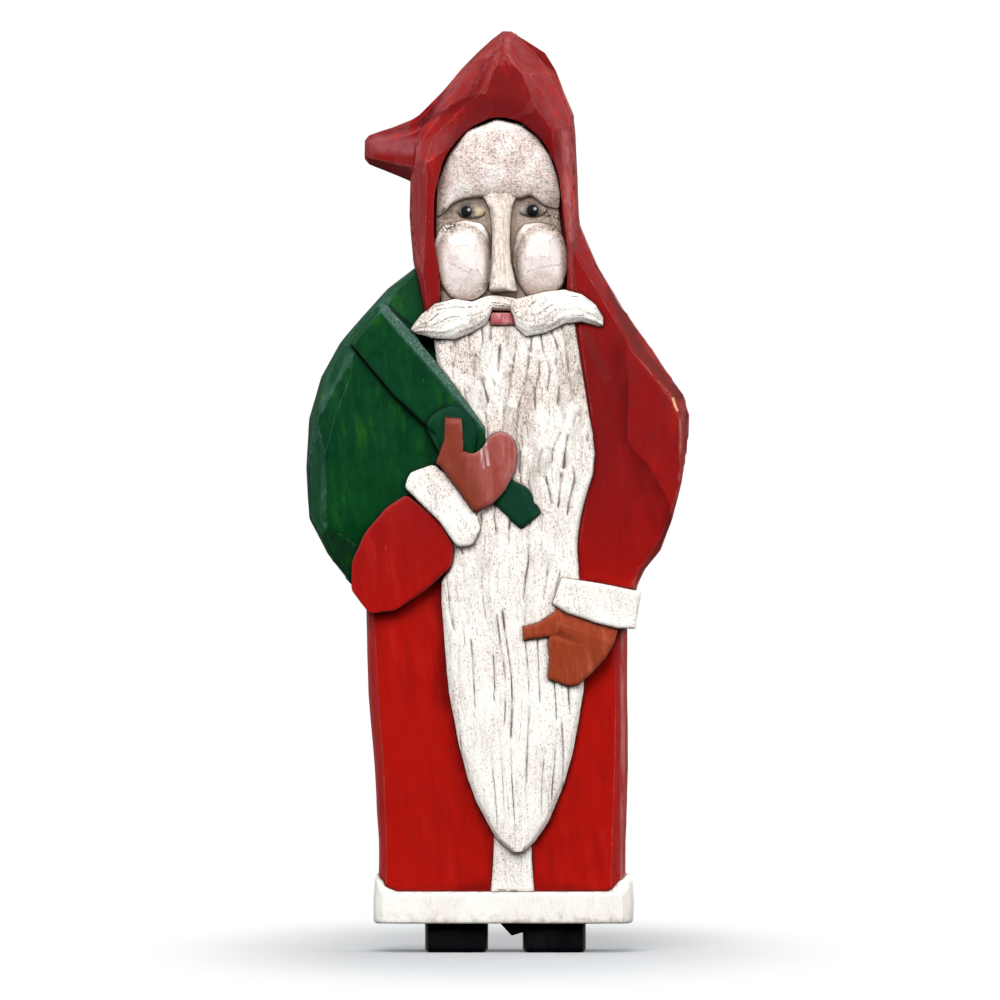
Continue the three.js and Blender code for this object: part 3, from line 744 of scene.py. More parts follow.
@dataclass
class Face:
    """The face in the hood: a ground for the eyes, a domed forehead, two domed cheeks and a long nose."""

    ground: float = 21.5
    forehead: float = 25.6
    cheek: float = 27.4
    nose_bridge: float = 24.8
    nose_tip: float = 28.4
    eye: float = 22.2
    root: float = 12
    cell: float = 0.6

    def forms(self) -> list[Form]:
        """Lists the face's forms."""
        return [
            self.sockets(), self.brow(), self.eyeball("eye_left", -2.75, 80.2, 1.5),
            self.eyeball("eye_right", 3.9, 80.4, 1.55), self.left_cheek(), self.right_cheek(), self.nose(),
        ]

    def raised(self, name: str, outline: Outline, front: float, edge: Pair, *cuts: Cut,
               **others: Any) -> Form:
        """Raises a form of the face from inside the head, softened and in fine cells unless others say so."""
        others = {"soft": 0.25, "cell": self.cell, **others}
        return Form.raised(name, Paint.SKIN, outline, self.root, front, edge, *cuts, **others)

    def sockets(self) -> Form:
        """Makes the ground of the face, hollowed round each eye."""
        outline = [
            (-5.8, 68), (-6.3, 73), (-6.6, 78), (-6.5, 82), (-5.3, 86.1), (-3.3, 88.6), (0, 90), (2.6, 89.3),
            (4.7, 87.6), (6.3, 84), (6.7, 80.5), (7.2, 76.5), (7.1, 72), (6.9, 68),
        ]
        left = gouge((-4.8, 79.6, 20.6), (-1.4, 80.4, 20.4), 1.6, 1.2)
        right = gouge((2.2, 80.4, 20.4), (5.6, 79.8, 20.8), 1.6, 1.2)
        return self.raised("face_ground", outline, self.ground, (0.6, 1.2), left, right, soft=0.6, cell=1.0,
                           part="socket")

    def brow(self) -> Form:
        """Makes the forehead, a dome with a flat at the left temple and a sloping cut over the right eye."""
        outline = [
            (-6.5, 79.6), (-5.6, 80.2), (-4.9, 81), (-3.9, 81.5), (-2.3, 81.8), (1.2, 81.9), (2.6, 81.6),
            (3.6, 82), (5.2, 80.9), (6.7, 80.5), (6.9, 82.2), (6.5, 84.3), (5.8, 86.3), (4.5, 88.2),
            (2.6, 89.7), (0, 90.3), (-3.3, 89), (-5.3, 86.3), (-6.4, 83.4),
        ]
        temple = flat((-4.9, 81.6, 24.4), (-4.6, 84.6, 24.6), (-6.5, 82, 21.4))
        over_right_eye = flat((3, 82.6, 25), (6.4, 82.5, 23.4), (5, 80.9, 22.6))
        return self.raised("forehead", outline, self.forehead, (3.0, 8.5), temple, over_right_eye,
                           part="brow")

    def eyeball(self, name: str, x: float, z: float, half_width: float) -> Form:
        """Makes one low eye over an ellipse whose middle is given."""
        half_height, root, cell = 0.7, 16, 0.5
        angle = np.linspace(0, 2 * math.pi, int(2 * math.pi * half_height * SHARE / cell), endpoint=False)
        outline = np.column_stack([x + half_width * np.cos(angle), z + half_height * np.sin(angle)])
        return Form.raised(name, Paint.SKIN, outline, root, self.eye, (1.0, 1.6), part="socket", cell=cell)

    def left_cheek(self) -> Form:
        """Makes the domed cheek on the viewer's left with the flats of the knife."""
        outline = [
            (-5.6, 78.9), (-3.5, 79.3), (-1.6, 79), (-0.8, 77.8), (-0.6, 75.4), (-0.6, 73.2), (-1.1, 71.6),
            (-2.4, 70.7), (-3.9, 70.6), (-5.1, 71.1), (-6, 72.3), (-6.6, 74), (-6.9, 75.7), (-6.7, 77),
            (-6.3, 78.2),
        ]
        return self.raised(
            "cheek_left", outline, self.cheek, (4.2, 6.5),
            flat((-5.7, 74.9, 26.4), (-3.1, 73.4, 26.9), (-4.9, 71.6, 24.8)),
            flat((-3.1, 73.4, 26.9), (-1.6, 73.6, 26.7), (-2, 71.6, 24.6)),
            flat((-2, 77, 26.5), (-1.7, 73, 26.5), (-0.8, 75, 24.3)),
            flat((-5.1, 77.2, 26), (-2.6, 77.6, 26.1), (-4, 78.7, 24)),
            flat((-5.4, 77, 26), (-5.8, 74.3, 26), (-6.6, 75.4, 24)),
        )

    def right_cheek(self) -> Form:
        """Makes the domed cheek on the viewer's right with the flats of the knife."""
        outline = [
            (2.9, 78.9), (4.6, 79.1), (6.3, 78.7), (7.2, 77.5), (7.6, 75.7), (7.6, 74), (7.2, 72.4),
            (6.2, 71.3), (4.6, 70.7), (3.2, 71.3), (2.3, 72.5), (1.9, 74.1), (1.8, 76), (2.1, 77.8),
        ]
        return self.raised(
            "cheek_right", outline, self.cheek, (4.2, 6.5),
            flat((2.6, 74.4, 26.6), (6, 74.3, 26.7), (4.3, 71.9, 24.9)),
            flat((2.9, 77.4, 26.5), (2.9, 73, 26.4), (2.2, 75, 24.4)),
            flat((6, 77, 26.6), (6.1, 73.3, 26.5), (7.2, 75.2, 24)),
            flat((3.2, 77.7, 26.4), (6, 77.6, 26.3), (4.7, 78.5, 24.6)),
        )

    def nose(self) -> Form:
        """Makes the long nose, whose ridge runs straight out from the bridge to the foot, where it flares.

        Returns:
            The form.
        """
        top, foot = 83, 71.6
        outline = [
            (-1.4, top), (-1.7, 82.2), (-1.1, 81.3), (-0.8, 80.4), (-0.6, 79.2), (-0.5, 77.6), (-0.6, 75),
            (-0.75, 72.8), (-0.85, foot), (2.25, foot), (1.9, 73), (1.5, 74.8), (1.4, 77), (1.5, 79.4),
            (1.6, 80.5), (1.8, 81.3), (2.4, 82.2), (2, top),
        ]
        slope = (self.nose_tip - self.nose_bridge) / (top - foot)
        out = lambda x, z: (top - z) / (top - foot) * (self.nose_tip - self.nose_bridge)
        at = lambda z, less: self.nose_bridge + (top - z) * slope - less
        return self.raised(
            "nose", outline, self.nose_bridge, (1.6, 2.4),
            flat((0.75, 81, at(81, 0.1)), (0.9, 72, at(72, 0.1)), (1.8, 77, at(77, 1.7))),
            flat((-0.1, 81, at(81, 0.1)), (-0.2, 72, at(72, 0.1)), (-0.9, 77, at(77, 1.2))),
            flat((-1, 79.6, at(79.6, 0)), (2, 79.6, at(79.6, 0)), (0.5, 81.8, at(81.8, 0.9))),
            soft=0.2, lean=out, part="brow",
        )


@dataclass(frozen=True)
class Cells:
    """The cells round loosely placed seeds, one seed per cell of a grid, as a set of points meets them.

    Attributes:
        near, next: The distances to the nearest seed and to the next one, in cells.
        own, other: A random number of each of these two seeds.
        offset: The way from the nearest seed to the point, in cells.
        apart: The way from the nearest seed to the next one, in cells.
    """

    near: Array
    next: Array
    own: Array
    other: Array
    offset: Array
    apart: Array

    @classmethod
    def of(cls, points: Array, cell: Sequence[float], seed: int) -> "Cells":
        """Finds the two nearest seeds of every point by looking through the grid's neighbouring cells.

        Args:
            points: The points, one row each.
            cell: The grid's cell along each axis, in the points' unit.
            seed: What the seeds' places are drawn with.

        Returns:
            The cells.
        """
        scaled = points / np.asarray(cell)
        home = np.floor(scaled)
        count, size = scaled.shape
        waves = np.array([(12.9898, 78.233, 37.719), (39.346, 11.135, 83.155), (73.156, 52.235, 9.151),
                          (26.651, 91.377, 64.113)])[:, :size]
        near, far = np.full(count, 9.0), np.full(count, 9.0)
        own, other = np.zeros(count), np.zeros(count)
        offset, beyond = np.zeros((count, size)), np.zeros((count, size))
        for shift in np.stack(np.meshgrid(*[[-1, 0, 1]] * size), axis=-1).reshape(-1, size):
            at = home + shift
            chance = np.sin(at @ waves.T + seed) * 43758.5453
            chance = chance - np.floor(chance)
            way = scaled - at - 0.12 - 0.76 * chance[:, :size]
            away = np.linalg.norm(way, axis=1)
            first, second = away < near, (away >= near) & (away < far)
            far = np.where(first, near, np.where(second, away, far))
            other = np.where(first, own, np.where(second, chance[:, 3], other))
            beyond = np.where(first[:, None], offset, np.where(second[:, None], way, beyond))
            near, own = np.where(first, away, near), np.where(first, chance[:, 3], own)
            offset = np.where(first[:, None], way, offset)
        return cls(near, far, own, other, offset, offset - beyond)

    def cut(self, half: float, low: float, high: float, along: int = 0) -> Array:
        """Gives the V of the cuts between the cells that lie side by side, from 0 to 1.

        The distance to the border is half the difference of the two distances. Each pair of cells has a
        random strength, and the borders across the strokes have none.

        Args:
            half: Half the cut's width in cells.
            low, high: The random numbers at which a pair has no cut and a full one.
            along: The axis across the strokes.

        Returns:
            The cut.
        """
        pair = (self.own + self.other) * 37.3
        strength = smoothstep(pair - np.floor(pair), low, high)
        sideways = self.apart[:, along] ** 2 / np.maximum((self.apart**2).sum(axis=1), 1e-9)
        vee = np.clip(1 - (self.next - self.near) / 2 / half, 0, 1)
        return vee * strength * smoothstep(sideways, 0.3, 0.7)

    def tilt(self, axis: int = 0) -> Array:
        """Tilts the flat of each cell to one side by its own random amount, from -1 to 1 over half a cell."""
        return (self.own - 0.5) * 4 * np.clip(self.offset[:, axis], -0.5, 0.5)


@dataclass
class Whiskers:
    """The moustache, the lip under it and the long beard with its cut locks."""

    moustache_front: float = 29
    lip_front: float = 26.3
    beard_edge: float = 22.4
    beard_front: float = 25.4
    bevel: float = 0.9
    strand: float = 3.7
    hair: float = 1.7
    top: float = 68.6
    tip: float = 10.9

    def forms(self) -> list[Form]:
        """Lists the beard, the moustache and the lip."""
        lip = [(-0.7, 67.9), (1.9, 67.9), (1.9, 69.3), (-0.7, 69.3)]
        return [
            Form("beard", self.beard(), Paint.WHITE),
            Form("moustache", self.moustache(), Paint.WHITE),
            Form.raised("lip", Paint.LIP, lip, 0, self.lip_front, (0.9, 1.2), cell=0.45),
        ]

    def moustache(self) -> Skin:
        """Skins the moustache over cuts across its sweep, from its left tip over the mouth to its right tip.

        Each cut has its x, its low and high edge and the share of the depth that it reaches. The strands
        follow the sweep: cells along it with a flat each and a V between them.

        Returns:
            The skin.
        """
        step, root, strands, long, relief = 0.55, 16.0, 6.5, 11.0, 0.4
        x, low, high, reach = resampled(np.array([
            [-9.3, 67.1, 67.6, 0.84],
            [-8.2, 66.9, 69.1, 0.91],
            [-6.7, 66.5, 70.3, 0.96],
            [-4.5, 66.4, 70.8, 1],
            [-2.7, 67.1, 70.5, 0.99],
            [-1.1, 68.1, 71.1, 0.97],
            [-0.5, 69.6, 71.2, 0.95],
            [1.5, 69.5, 71, 0.95],
            [2.1, 67.6, 70.8, 0.97],
            [3.2, 66.7, 71.1, 0.99],
            [5.3, 67.1, 71.6, 1],
            [7.4, 68.1, 71.8, 0.98],
            [9.2, 68.3, 71.3, 0.94],
            [10.7, 67.9, 70.2, 0.9],
            [11.5, 67.7, 69, 0.84],
        ]), step / SHARE, False).T[:, :, None]
        part = np.linspace(0, 1, 26)[None, :]
        crown = np.interp(part, [0, 0.2, 0.55, 0.85, 1], [-2.2, -0.5, 0, -1.0, -2.8])
        depth = reach * self.moustache_front + crown
        sway = part * strands + 0.5 * np.sin(x / 2.1) + 0.3 * np.sin(x / 0.9 + 7 * part)
        across = x * SHARE + 0 * part
        cells = Cells.of(np.column_stack([across.ravel(), sway.ravel()]), (long, 1.0), SEED + 1)
        tilt = cells.tilt(1).reshape(depth.shape)
        vee = cells.cut(0.22, 0.35, 0.75, 1).reshape(depth.shape)
        inner = smoothstep(np.minimum(part, 1 - part), 0.0, 0.12)
        depth = depth + (relief * tilt - relief * vee) * inner
        face = np.stack([across, -depth, (low + part * (high - low)) * SHARE], axis=-1)
        return walled(face, root, 8, step, vee * inner)

    def edges(self, height: Array) -> tuple[Array, Array]:
        """Gives the beard's left and right edges at the given heights, straight between chosen points."""
        left = np.array([
            (self.tip, 1.7), (12.3, 0), (14.2, -1.1), (16.3, -2.2), (18.7, -3.1), (22.5, -4.1), (25.2, -4.6),
            (28.2, -5.2), (32.6, -5.6), (38, -6), (40.2, -6), (42, -5), (44, -4.7), (52, -5), (60, -6),
            (64.6, -6.6), (self.top, -7),
        ])
        right = np.array([
            (self.tip, 2.9), (12, 4.1), (14.2, 5.6), (18, 7.2), (21.5, 8.2), (24.7, 8.8), (28.4, 9.4),
            (34, 9.6), (40.9, 8.9), (44.8, 8.9), (47.1, 9.3), (49.3, 9.9), (51.8, 10.6), (54, 10.8),
            (56.4, 10.6), (59.8, 10), (63, 9.5), (self.top, 8.6),
        ])
        return np.interp(height, left[:, 0], left[:, 1]), np.interp(height, right[:, 0], right[:, 1])

    def beard(self) -> Skin:
        """Skins the beard as a field of chips over its width and height, with the wash as its stain.

        The face is a little crowned: the depth falls by a power of the way from the middle to the edges.

        Returns:
            The skin.
        """
        rows, columns, cell, root, highest = 232, 112, 0.6, 15.0, 0.9
        fall = np.linspace(0, 1, rows)[:, None] ** 0.97
        across = np.linspace(0, 1, columns)[None, :] + 0 * fall
        height = self.top + (self.tip - self.top) * fall
        left, right = self.edges(height)
        width = (right - left) * SHARE
        x, z = (left + (right - left) * across) * SHARE, height * SHARE + 0 * across
        relief, stain = self.chips(x, z, (left + right) / 2 * SHARE, fall)
        relief = np.maximum(relief, -0.6 - 6 * fall)
        crown = 1 - (2 * across - 1) ** 6
        depth = self.beard_edge + self.bevel + (self.beard_front - self.beard_edge - self.bevel) * crown
        edge = np.minimum(across, 1 - across) * width
        depth = np.minimum(depth + relief * smoothstep(edge, 0.2, 2.5), self.beard_front + highest)
        depth = depth - self.bevel * (1 - smoothstep(edge, 0, 1.5))
        return walled(np.stack([x, -depth, z], axis=-1), root, 7, cell, stain)

    def chips(self, x: Array, z: Array, middle: Array, fall: Array) -> tuple[Array, Array]:
        """Works the beard over with long chips and finer hair cuts.

        The chips are cells that grow longer down the beard and sway as they fall. Each chip is a flat
        that tilts to one side and stands a little higher or lower, and a V parts it from some of its
        neighbours.

        Args:
            x, z: The places on the beard in millimetres.
            middle: The beard's middle at each height.
            fall: How far down the beard each height is, from 0 to 1.

        Returns:
            The relief in millimetres, and the wash from 0 to 1.
        """
        lower = smoothstep(fall, 0.25, 0.8)
        long = 10 + 28 * lower
        down = np.cumsum(np.gradient(-z[:, :1], axis=0) / long, axis=0) + 0 * x
        gathered = middle + (x - middle) * (1 + 0.35 * lower)
        ripple = 0.4 * np.sin(z / 3.7 - x / 5) * (1 - lower)
        sway = 1.0 * np.sin(z / 8.5 + x / 8) + 0.9 * np.sin(z / 21 + 2) + ripple
        places = np.column_stack([(gathered + sway).ravel(), down.ravel()])
        chips = Cells.of(places, (self.strand, 1.0), SEED)
        hairs = Cells.of(places, (self.hair, 0.55), SEED + 5)
        shaped = lambda values: values.reshape(x.shape)
        deep = shaped(chips.cut(0.16, 0.2, 0.62))
        fine = shaped(hairs.cut(0.22, 0.5, 0.88))
        lift = (chips.own * 7.7) % 1 - 0.5
        calm = 1 - 0.45 * lower
        planes = shaped(0.75 * chips.tilt() + 0.45 * lift + 0.2 * hairs.tilt())
        relief = planes * calm - deep * calm - 0.35 * fine
        tinted = shaped(smoothstep((chips.own * 5.3) % 1, 0.55, 0.8)) * (0.5 - 0.35 * lower)
        return relief, np.maximum(np.maximum(deep, 0.75 * fine), tinted)


@dataclass
class Sack:
    """The sack over the shoulder, its gathered neck and the tail that hangs out under the mitten."""

    front: float = 21
    back: float = 27
    neck_front: float = 26.8
    neck_sink: float = 0.2
    tail_front: float = 26.8

    def forms(self) -> list[Form]:
        """Lists the sack, the gap cut beside its neck, the neck, the knot and the tail.

        Returns:
            The forms in the order in which they are joined.
        """
        rows = [
            [39.3, -15.4, -14.8, -9, -7, 0.6, 0.5],
            [43.2, -18.4, -17.6, -5, -2, 0.85, 0.8],
            [47, -20.4, -19.1, -4, 0, 0.95, 0.93],
            [52.5, -20.74, -19, -3, 1, 1, 1],
            [57.9, -20.4, -17.6, -3, 1, 1.02, 1],
            [62.4, -19.1, -15.9, -4, 0, 1.03, 0.99],
            [66, -17.1, -15.2, -5, -1, 1.02, 0.96],
            [69, -14.6, -13.3, -6, -3, 0.98, 0.92],
            [72, -11.9, -10.5, -6, -4, 0.9, 0.88],
            [74.2, -9, -8.2, -6, -5, 0.8, 0.84],
        ]
        body = levels(rows, (self.front, self.back), 1.4).carved(
            flat((-18.6, 57, 21.6), (-18.2, 46, 20), (-20.6, 52, 13)),
            flat((-15.6, 64.6, 21.4), (-18.4, 58, 21.4), (-19.6, 62.4, 13)),
            flat((-12.6, 69.6, 19.4), (-15.6, 65.4, 21.2), (-16.6, 68.6, 10)),
            flat((-16.2, 45.5, 20.6), (-11, 42.5, 20.4), (-15, 41, 12)),
            flat((-12, 56, 22), (-19, 57, 20.8), (-18, 47, 19.6)),
        )
        gap = [(-8.9, 66.6), (-5.6, 66.3), (-5.4, 63.4), (-6.6, 63.2), (-7.6, 64.6)]
        neck = [
            (-12.76, 69.45), (-15.7, 65.9), (-11.2, 60.3), (-6.8, 56.2), (-4, 53), (-1.2, 54.8), (-1.3, 56.9),
            (-4.9, 61.9), (-9.1, 67.1), (-11.9, 70),
        ]
        knot = [
            (-7.9, 57.3), (-6.6, 58.8), (-4.8, 59.5), (-3.3, 58.8), (-2.2, 57.4), (-1.8, 55.6), (-2.3, 53.5),
            (-6, 53.5),
        ]
        tail = [
            (1.4, 51.3), (3.3, 50.4), (4.3, 49), (4.9, 47.6), (4.2, 47.1), (2.6, 45.8), (1.3, 47.1),
            (-0.6, 49), (0.4, 51),
        ]
        root, green, knot_front = 9, Paint.GREEN, self.neck_front + 0.5
        sink = lambda x, z: self.neck_sink * (x + 1.5)
        neck_cut = flat((-12.76, 69.45, 24.6), (-1.5, 56.6, 26.7), (-4.9, 61.9, 25.3))
        tail_cut = flat((2.6, 51, 26.6), (4, 47.2, 26.6), (4.9, 49.4, 23.4))
        return [
            Form("sack", body, green),
            Form.raised("sack_gap", green, gap, 15.2, 40, (0.1, 0.5), cuts_away=True, cell=0.9),
            Form.raised("sack_neck", green, neck, root, self.neck_front, (0.3, 0.5), neck_cut, lean=sink),
            Form.raised("sack_knot", green, knot, root, knot_front, (1.8, 2.8), soft=0.4, part="knot"),
            Form.raised("sack_tail", green, tail, root, self.tail_front, (0.7, 0.9), tail_cut, soft=0.25),
        ]


@dataclass
class Arms:
    """The two arms: one bent to hold the sack's neck, one hanging, each with its cuff and mitten."""

    sleeve_front: float = 23.6
    sleeve_back: float = 16
    elbow: float = 25.8
    cuff: float = 27.8
    mitten: float = 29.1
    lower_cuff: float = 27.6
    lower_mitten: float = 27.3

    def sleeve(self) -> Form:
        """Makes the shoulder and the wide sleeve of the hanging arm.

        Returns:
            The form.
        """
        rows = [
            [38.2, 6, 8.7, 14.2, 14.9, 0.91, 0.88],
            [39.8, 6, 8.8, 14.6, 15.3, 0.93, 0.9],
            [41.5, 6, 8.9, 15.2, 16.1, 0.95, 0.92],
            [43.6, 6, 8.9, 17, 17.8, 0.98, 0.95],
            [47, 6, 9.4, 18.5, 19.1, 1, 1],
            [51, 6, 10.2, 19.6, 20.1, 1, 1.05],
            [55, 6, 10.6, 20.2, 20.7, 1, 1.1],
            [58.4, 6, 10.3, 20.3, 20.8, 1, 1.15],
            [60.5, 6, 10, 19.7, 20.2, 1, 1.2],
            [63, 5, 9.6, 17.9, 18.4, 1, 1.28],
            [66, 4, 9.2, 15.9, 16.4, 1, 1.36],
            [70, 3, 8.8, 13.1, 13.6, 1, 1.42],
            [74.4, 2, 8.3, 10.5, 11, 1.02, 1.48],
            [79, 2, 7.4, 8.5, 9, 1.04, 1.5],
            [83, 2, 6.8, 8, 8.6, 1.04, 1.48],
        ]
        crease_top, bend, fold = (14, 64, 21.8), (14.1, 55.7, 21.6), (17.6, 51.4, 21.4)
        shoulder, corner, point = (10.3, 73.8, 22.4), (14.2, 65.3, 22.6), (18.9, 60, 22.8)
        elbow, hip, wrist = (19.8, 57.7, 22.8), (19.8, 51.6, 22.4), (18.7, 48.4, 22)
        left_of_crease = flat(crease_top, bend, (9.8, 60, 23.4))
        right_of_crease = flat(crease_top, bend, (19, 60, 23.1))
        over_fold = flat(bend, fold, (19, 58, 23.1))
        above_corner = flat(shoulder, corner, (15.6, 69, 16.4))
        below_corner = flat(corner, point, (18.4, 64.4, 16.6))
        skin = levels(rows, (self.sleeve_front, self.sleeve_back), 1.25).carved(
            lambda x, z: np.maximum(left_of_crease(x, z), np.minimum(right_of_crease(x, z), over_fold(x, z))),
            lambda x, z: np.maximum(above_corner(x, z), below_corner(x, z)),
            flat(point, elbow, (20.8, 60, 15)),
            flat(elbow, hip, (20.9, 54, 15)),
            flat(hip, wrist, (20.4, 47.6, 16)),
            flat(wrist, (16, 43, 21.6), (18.2, 43, 16)),
        )
        return Form("sleeve", skin, Paint.RED, part="robe")

    def carrying(self) -> list[Form]:
        """Lists the bent arm's elbow, cuff, palm and thumb.

        Returns:
            The forms in the order in which they are joined.
        """
        elbow = [
            (-9.8, 49.6), (-12, 48.2), (-14.2, 45.6), (-15.7, 42.4), (-15.8, 39.3), (-13.8, 36.7), (-11, 37),
            (-7.7, 39.2), (-4.9, 41.8), (-4.6, 44), (-6.4, 47),
        ]
        cuff = [
            (-6.9, 52.9), (-9.4, 52), (-10, 50.4), (-8.5, 48.9), (-6.2, 46.7), (-4.3, 43.9), (-2.6, 44.1),
            (-1.7, 46), (-2.8, 48.8), (-4.8, 51.3),
        ]
        palm = [
            (-6.4, 53), (-3.9, 54.4), (-2.5, 54), (-1.6, 54.6), (-0.7, 56.1), (0.6, 56.5), (1.9, 55.6),
            (2.2, 54.2), (2.1, 52.4), (0.9, 50), (-0.4, 48.6), (-2.4, 47.6), (-4.4, 50.4),
        ]
        thumb = [(-5.6, 58), (-5.7, 55.5), (-6.6, 53), (-4.5, 51.5), (-3.6, 54.6), (-3.8, 57.9)]
        return [
            Form.raised("elbow", Paint.RED, elbow, -12, self.elbow, (0.8, 1.0),
                        flat((-10, 43, 25.8), (-14.6, 45.4, 25), (-14.8, 38.6, 24.4)), soft=0.35),
            Form.raised("cuff", Paint.WHITE, cuff, 5, self.cuff, (0.6, 0.7),
                        flat((-7.6, 52.2, 27.6), (-2.9, 46.4, 27.6), (-4, 51, 25.6)), soft=0.25),
            Form.raised("palm", Paint.MITTEN, palm, 5, self.mitten, (1.0, 1.6), soft=0.3, part="mitten"),
            Form.raised("thumb", Paint.MITTEN, thumb, 5, self.mitten, (0.7, 1.0),
                        flat((-5.6, 57.5, 28.9), (-3.8, 57.4, 28.9), (-4.6, 58.1, 26.8)), part="mitten"),
        ]

    def hanging(self) -> list[Form]:
        """Lists the hanging arm's cuff, palm and thumb.

        Returns:
            The forms in the order in which they are joined.
        """
        cuff = [
            (7, 40.6), (11.3, 40), (15.6, 39.1), (15.5, 38.4), (15, 35.1), (13.1, 35.1), (10.7, 35.7),
            (7.5, 36.8), (6, 37.8),
        ]
        palm = [
            (6.4, 37.4), (13.3, 36), (13.1, 35), (12.7, 33.5), (11.7, 31.8), (10.2, 30.2), (8.8, 29),
            (7.6, 28.9), (5.5, 29.7), (5.7, 32.1), (5.5, 33.5),
        ]
        thumb = [
            (6.8, 37.3), (5.6, 36.5), (4.6, 35.8), (2.8, 35.3), (2.9, 33.8), (3.4, 33.9), (6.4, 34.3),
            (7.6, 35.5),
        ]
        front, behind_sleeve, own = self.lower_mitten, -self.sleeve_back - 1, "lower_mitten"
        return [
            Form.raised("lower_cuff", Paint.WHITE, cuff, behind_sleeve, self.lower_cuff, (0.6, 0.7)),
            Form.raised("lower_palm", Paint.LOWER_MITTEN, palm, 0, front, (0.9, 1.4),
                        flat((5.4, 36.2, front), (12.8, 33.4, front), (10, 38, front - 2.6)),
                        flat((8, 34, front), (12.4, 33, front - 0.2), (11, 30.4, front - 0.5)),
                        gouge((6.1, 34.7, front - 1.2), (9.6, 33.2, front), 0.5, 0.8), part=own),
            Form.raised("lower_thumb", Paint.LOWER_MITTEN, thumb, 5, front - 0.2, (0.7, 1.0), part=own),
        ]


class Edges:
    """The edges of a mesh, along which values are averaged and ways are measured."""

    def __init__(self, points: Array, ends: Array) -> None:
        """Measures the edges.

        Args:
            points: The mesh's points in millimetres.
            ends: The numbers of each edge's two points.
        """
        self.start, self.end = ends.T
        self.length = np.linalg.norm(points[self.start] - points[self.end], axis=1)
        self.here = np.concatenate([self.start, self.end])
        self.there = np.concatenate([self.end, self.start])
        self.count = len(points)
        short, least = 0.1, 1e-9
        self.weight = np.tile(1 / (self.length + short), 2)
        self.total = np.maximum(np.bincount(self.here, self.weight, self.count), least)

    def means(self, values: Array) -> Array:
        """Averages each point's neighbours: the sum of their values over length, over the weights' sum."""
        columns = values.reshape(self.count, -1)
        sums = [np.bincount(self.here, self.weight * column[self.there], self.count) for column in columns.T]
        return (np.stack(sums, axis=-1) / self.total[:, None]).reshape(values.shape)

    def way_from(self, chosen: Array) -> Array:
        """Measures the shortest way along the edges from each point to a chosen one, up to about 10 mm.

        Args:
            chosen: True for the points that are measured from.

        Returns:
            Each point's way in millimetres.
        """
        far, rounds = 20.0, 16
        way = np.where(chosen, 0.0, far)
        for _ in range(rounds):
            reached = [way[self.start] + self.length, way[self.end] + self.length]
            np.minimum.at(way, self.end, reached[0])
            np.minimum.at(way, self.start, reached[1])
        return way

    def hollows(self, points: Array, normals: Array) -> Array:
        """Measures how deep each point lies under a smoothed copy of the surface, in millimetres.

        Args:
            points, normals: The surface's points and normals, one row each.

        Returns:
            Each point's depth.
        """
        rounds, deepest = 16, 2
        smoothed = points
        for _ in range(rounds):
            smoothed = self.means(smoothed)
        return np.clip(np.einsum("ij,ij->i", smoothed - points, normals), 0, deepest)


def read(items: Any, key: str, width: int = 1, kind: type = float) -> Array:
    """Reads a number, or a vector of a width, from every item of one of a mesh's lists."""
    values = np.empty(len(items) * width, dtype=kind)
    items.foreach_get(key, values)
    return values.reshape(-1, width) if width > 1 else values


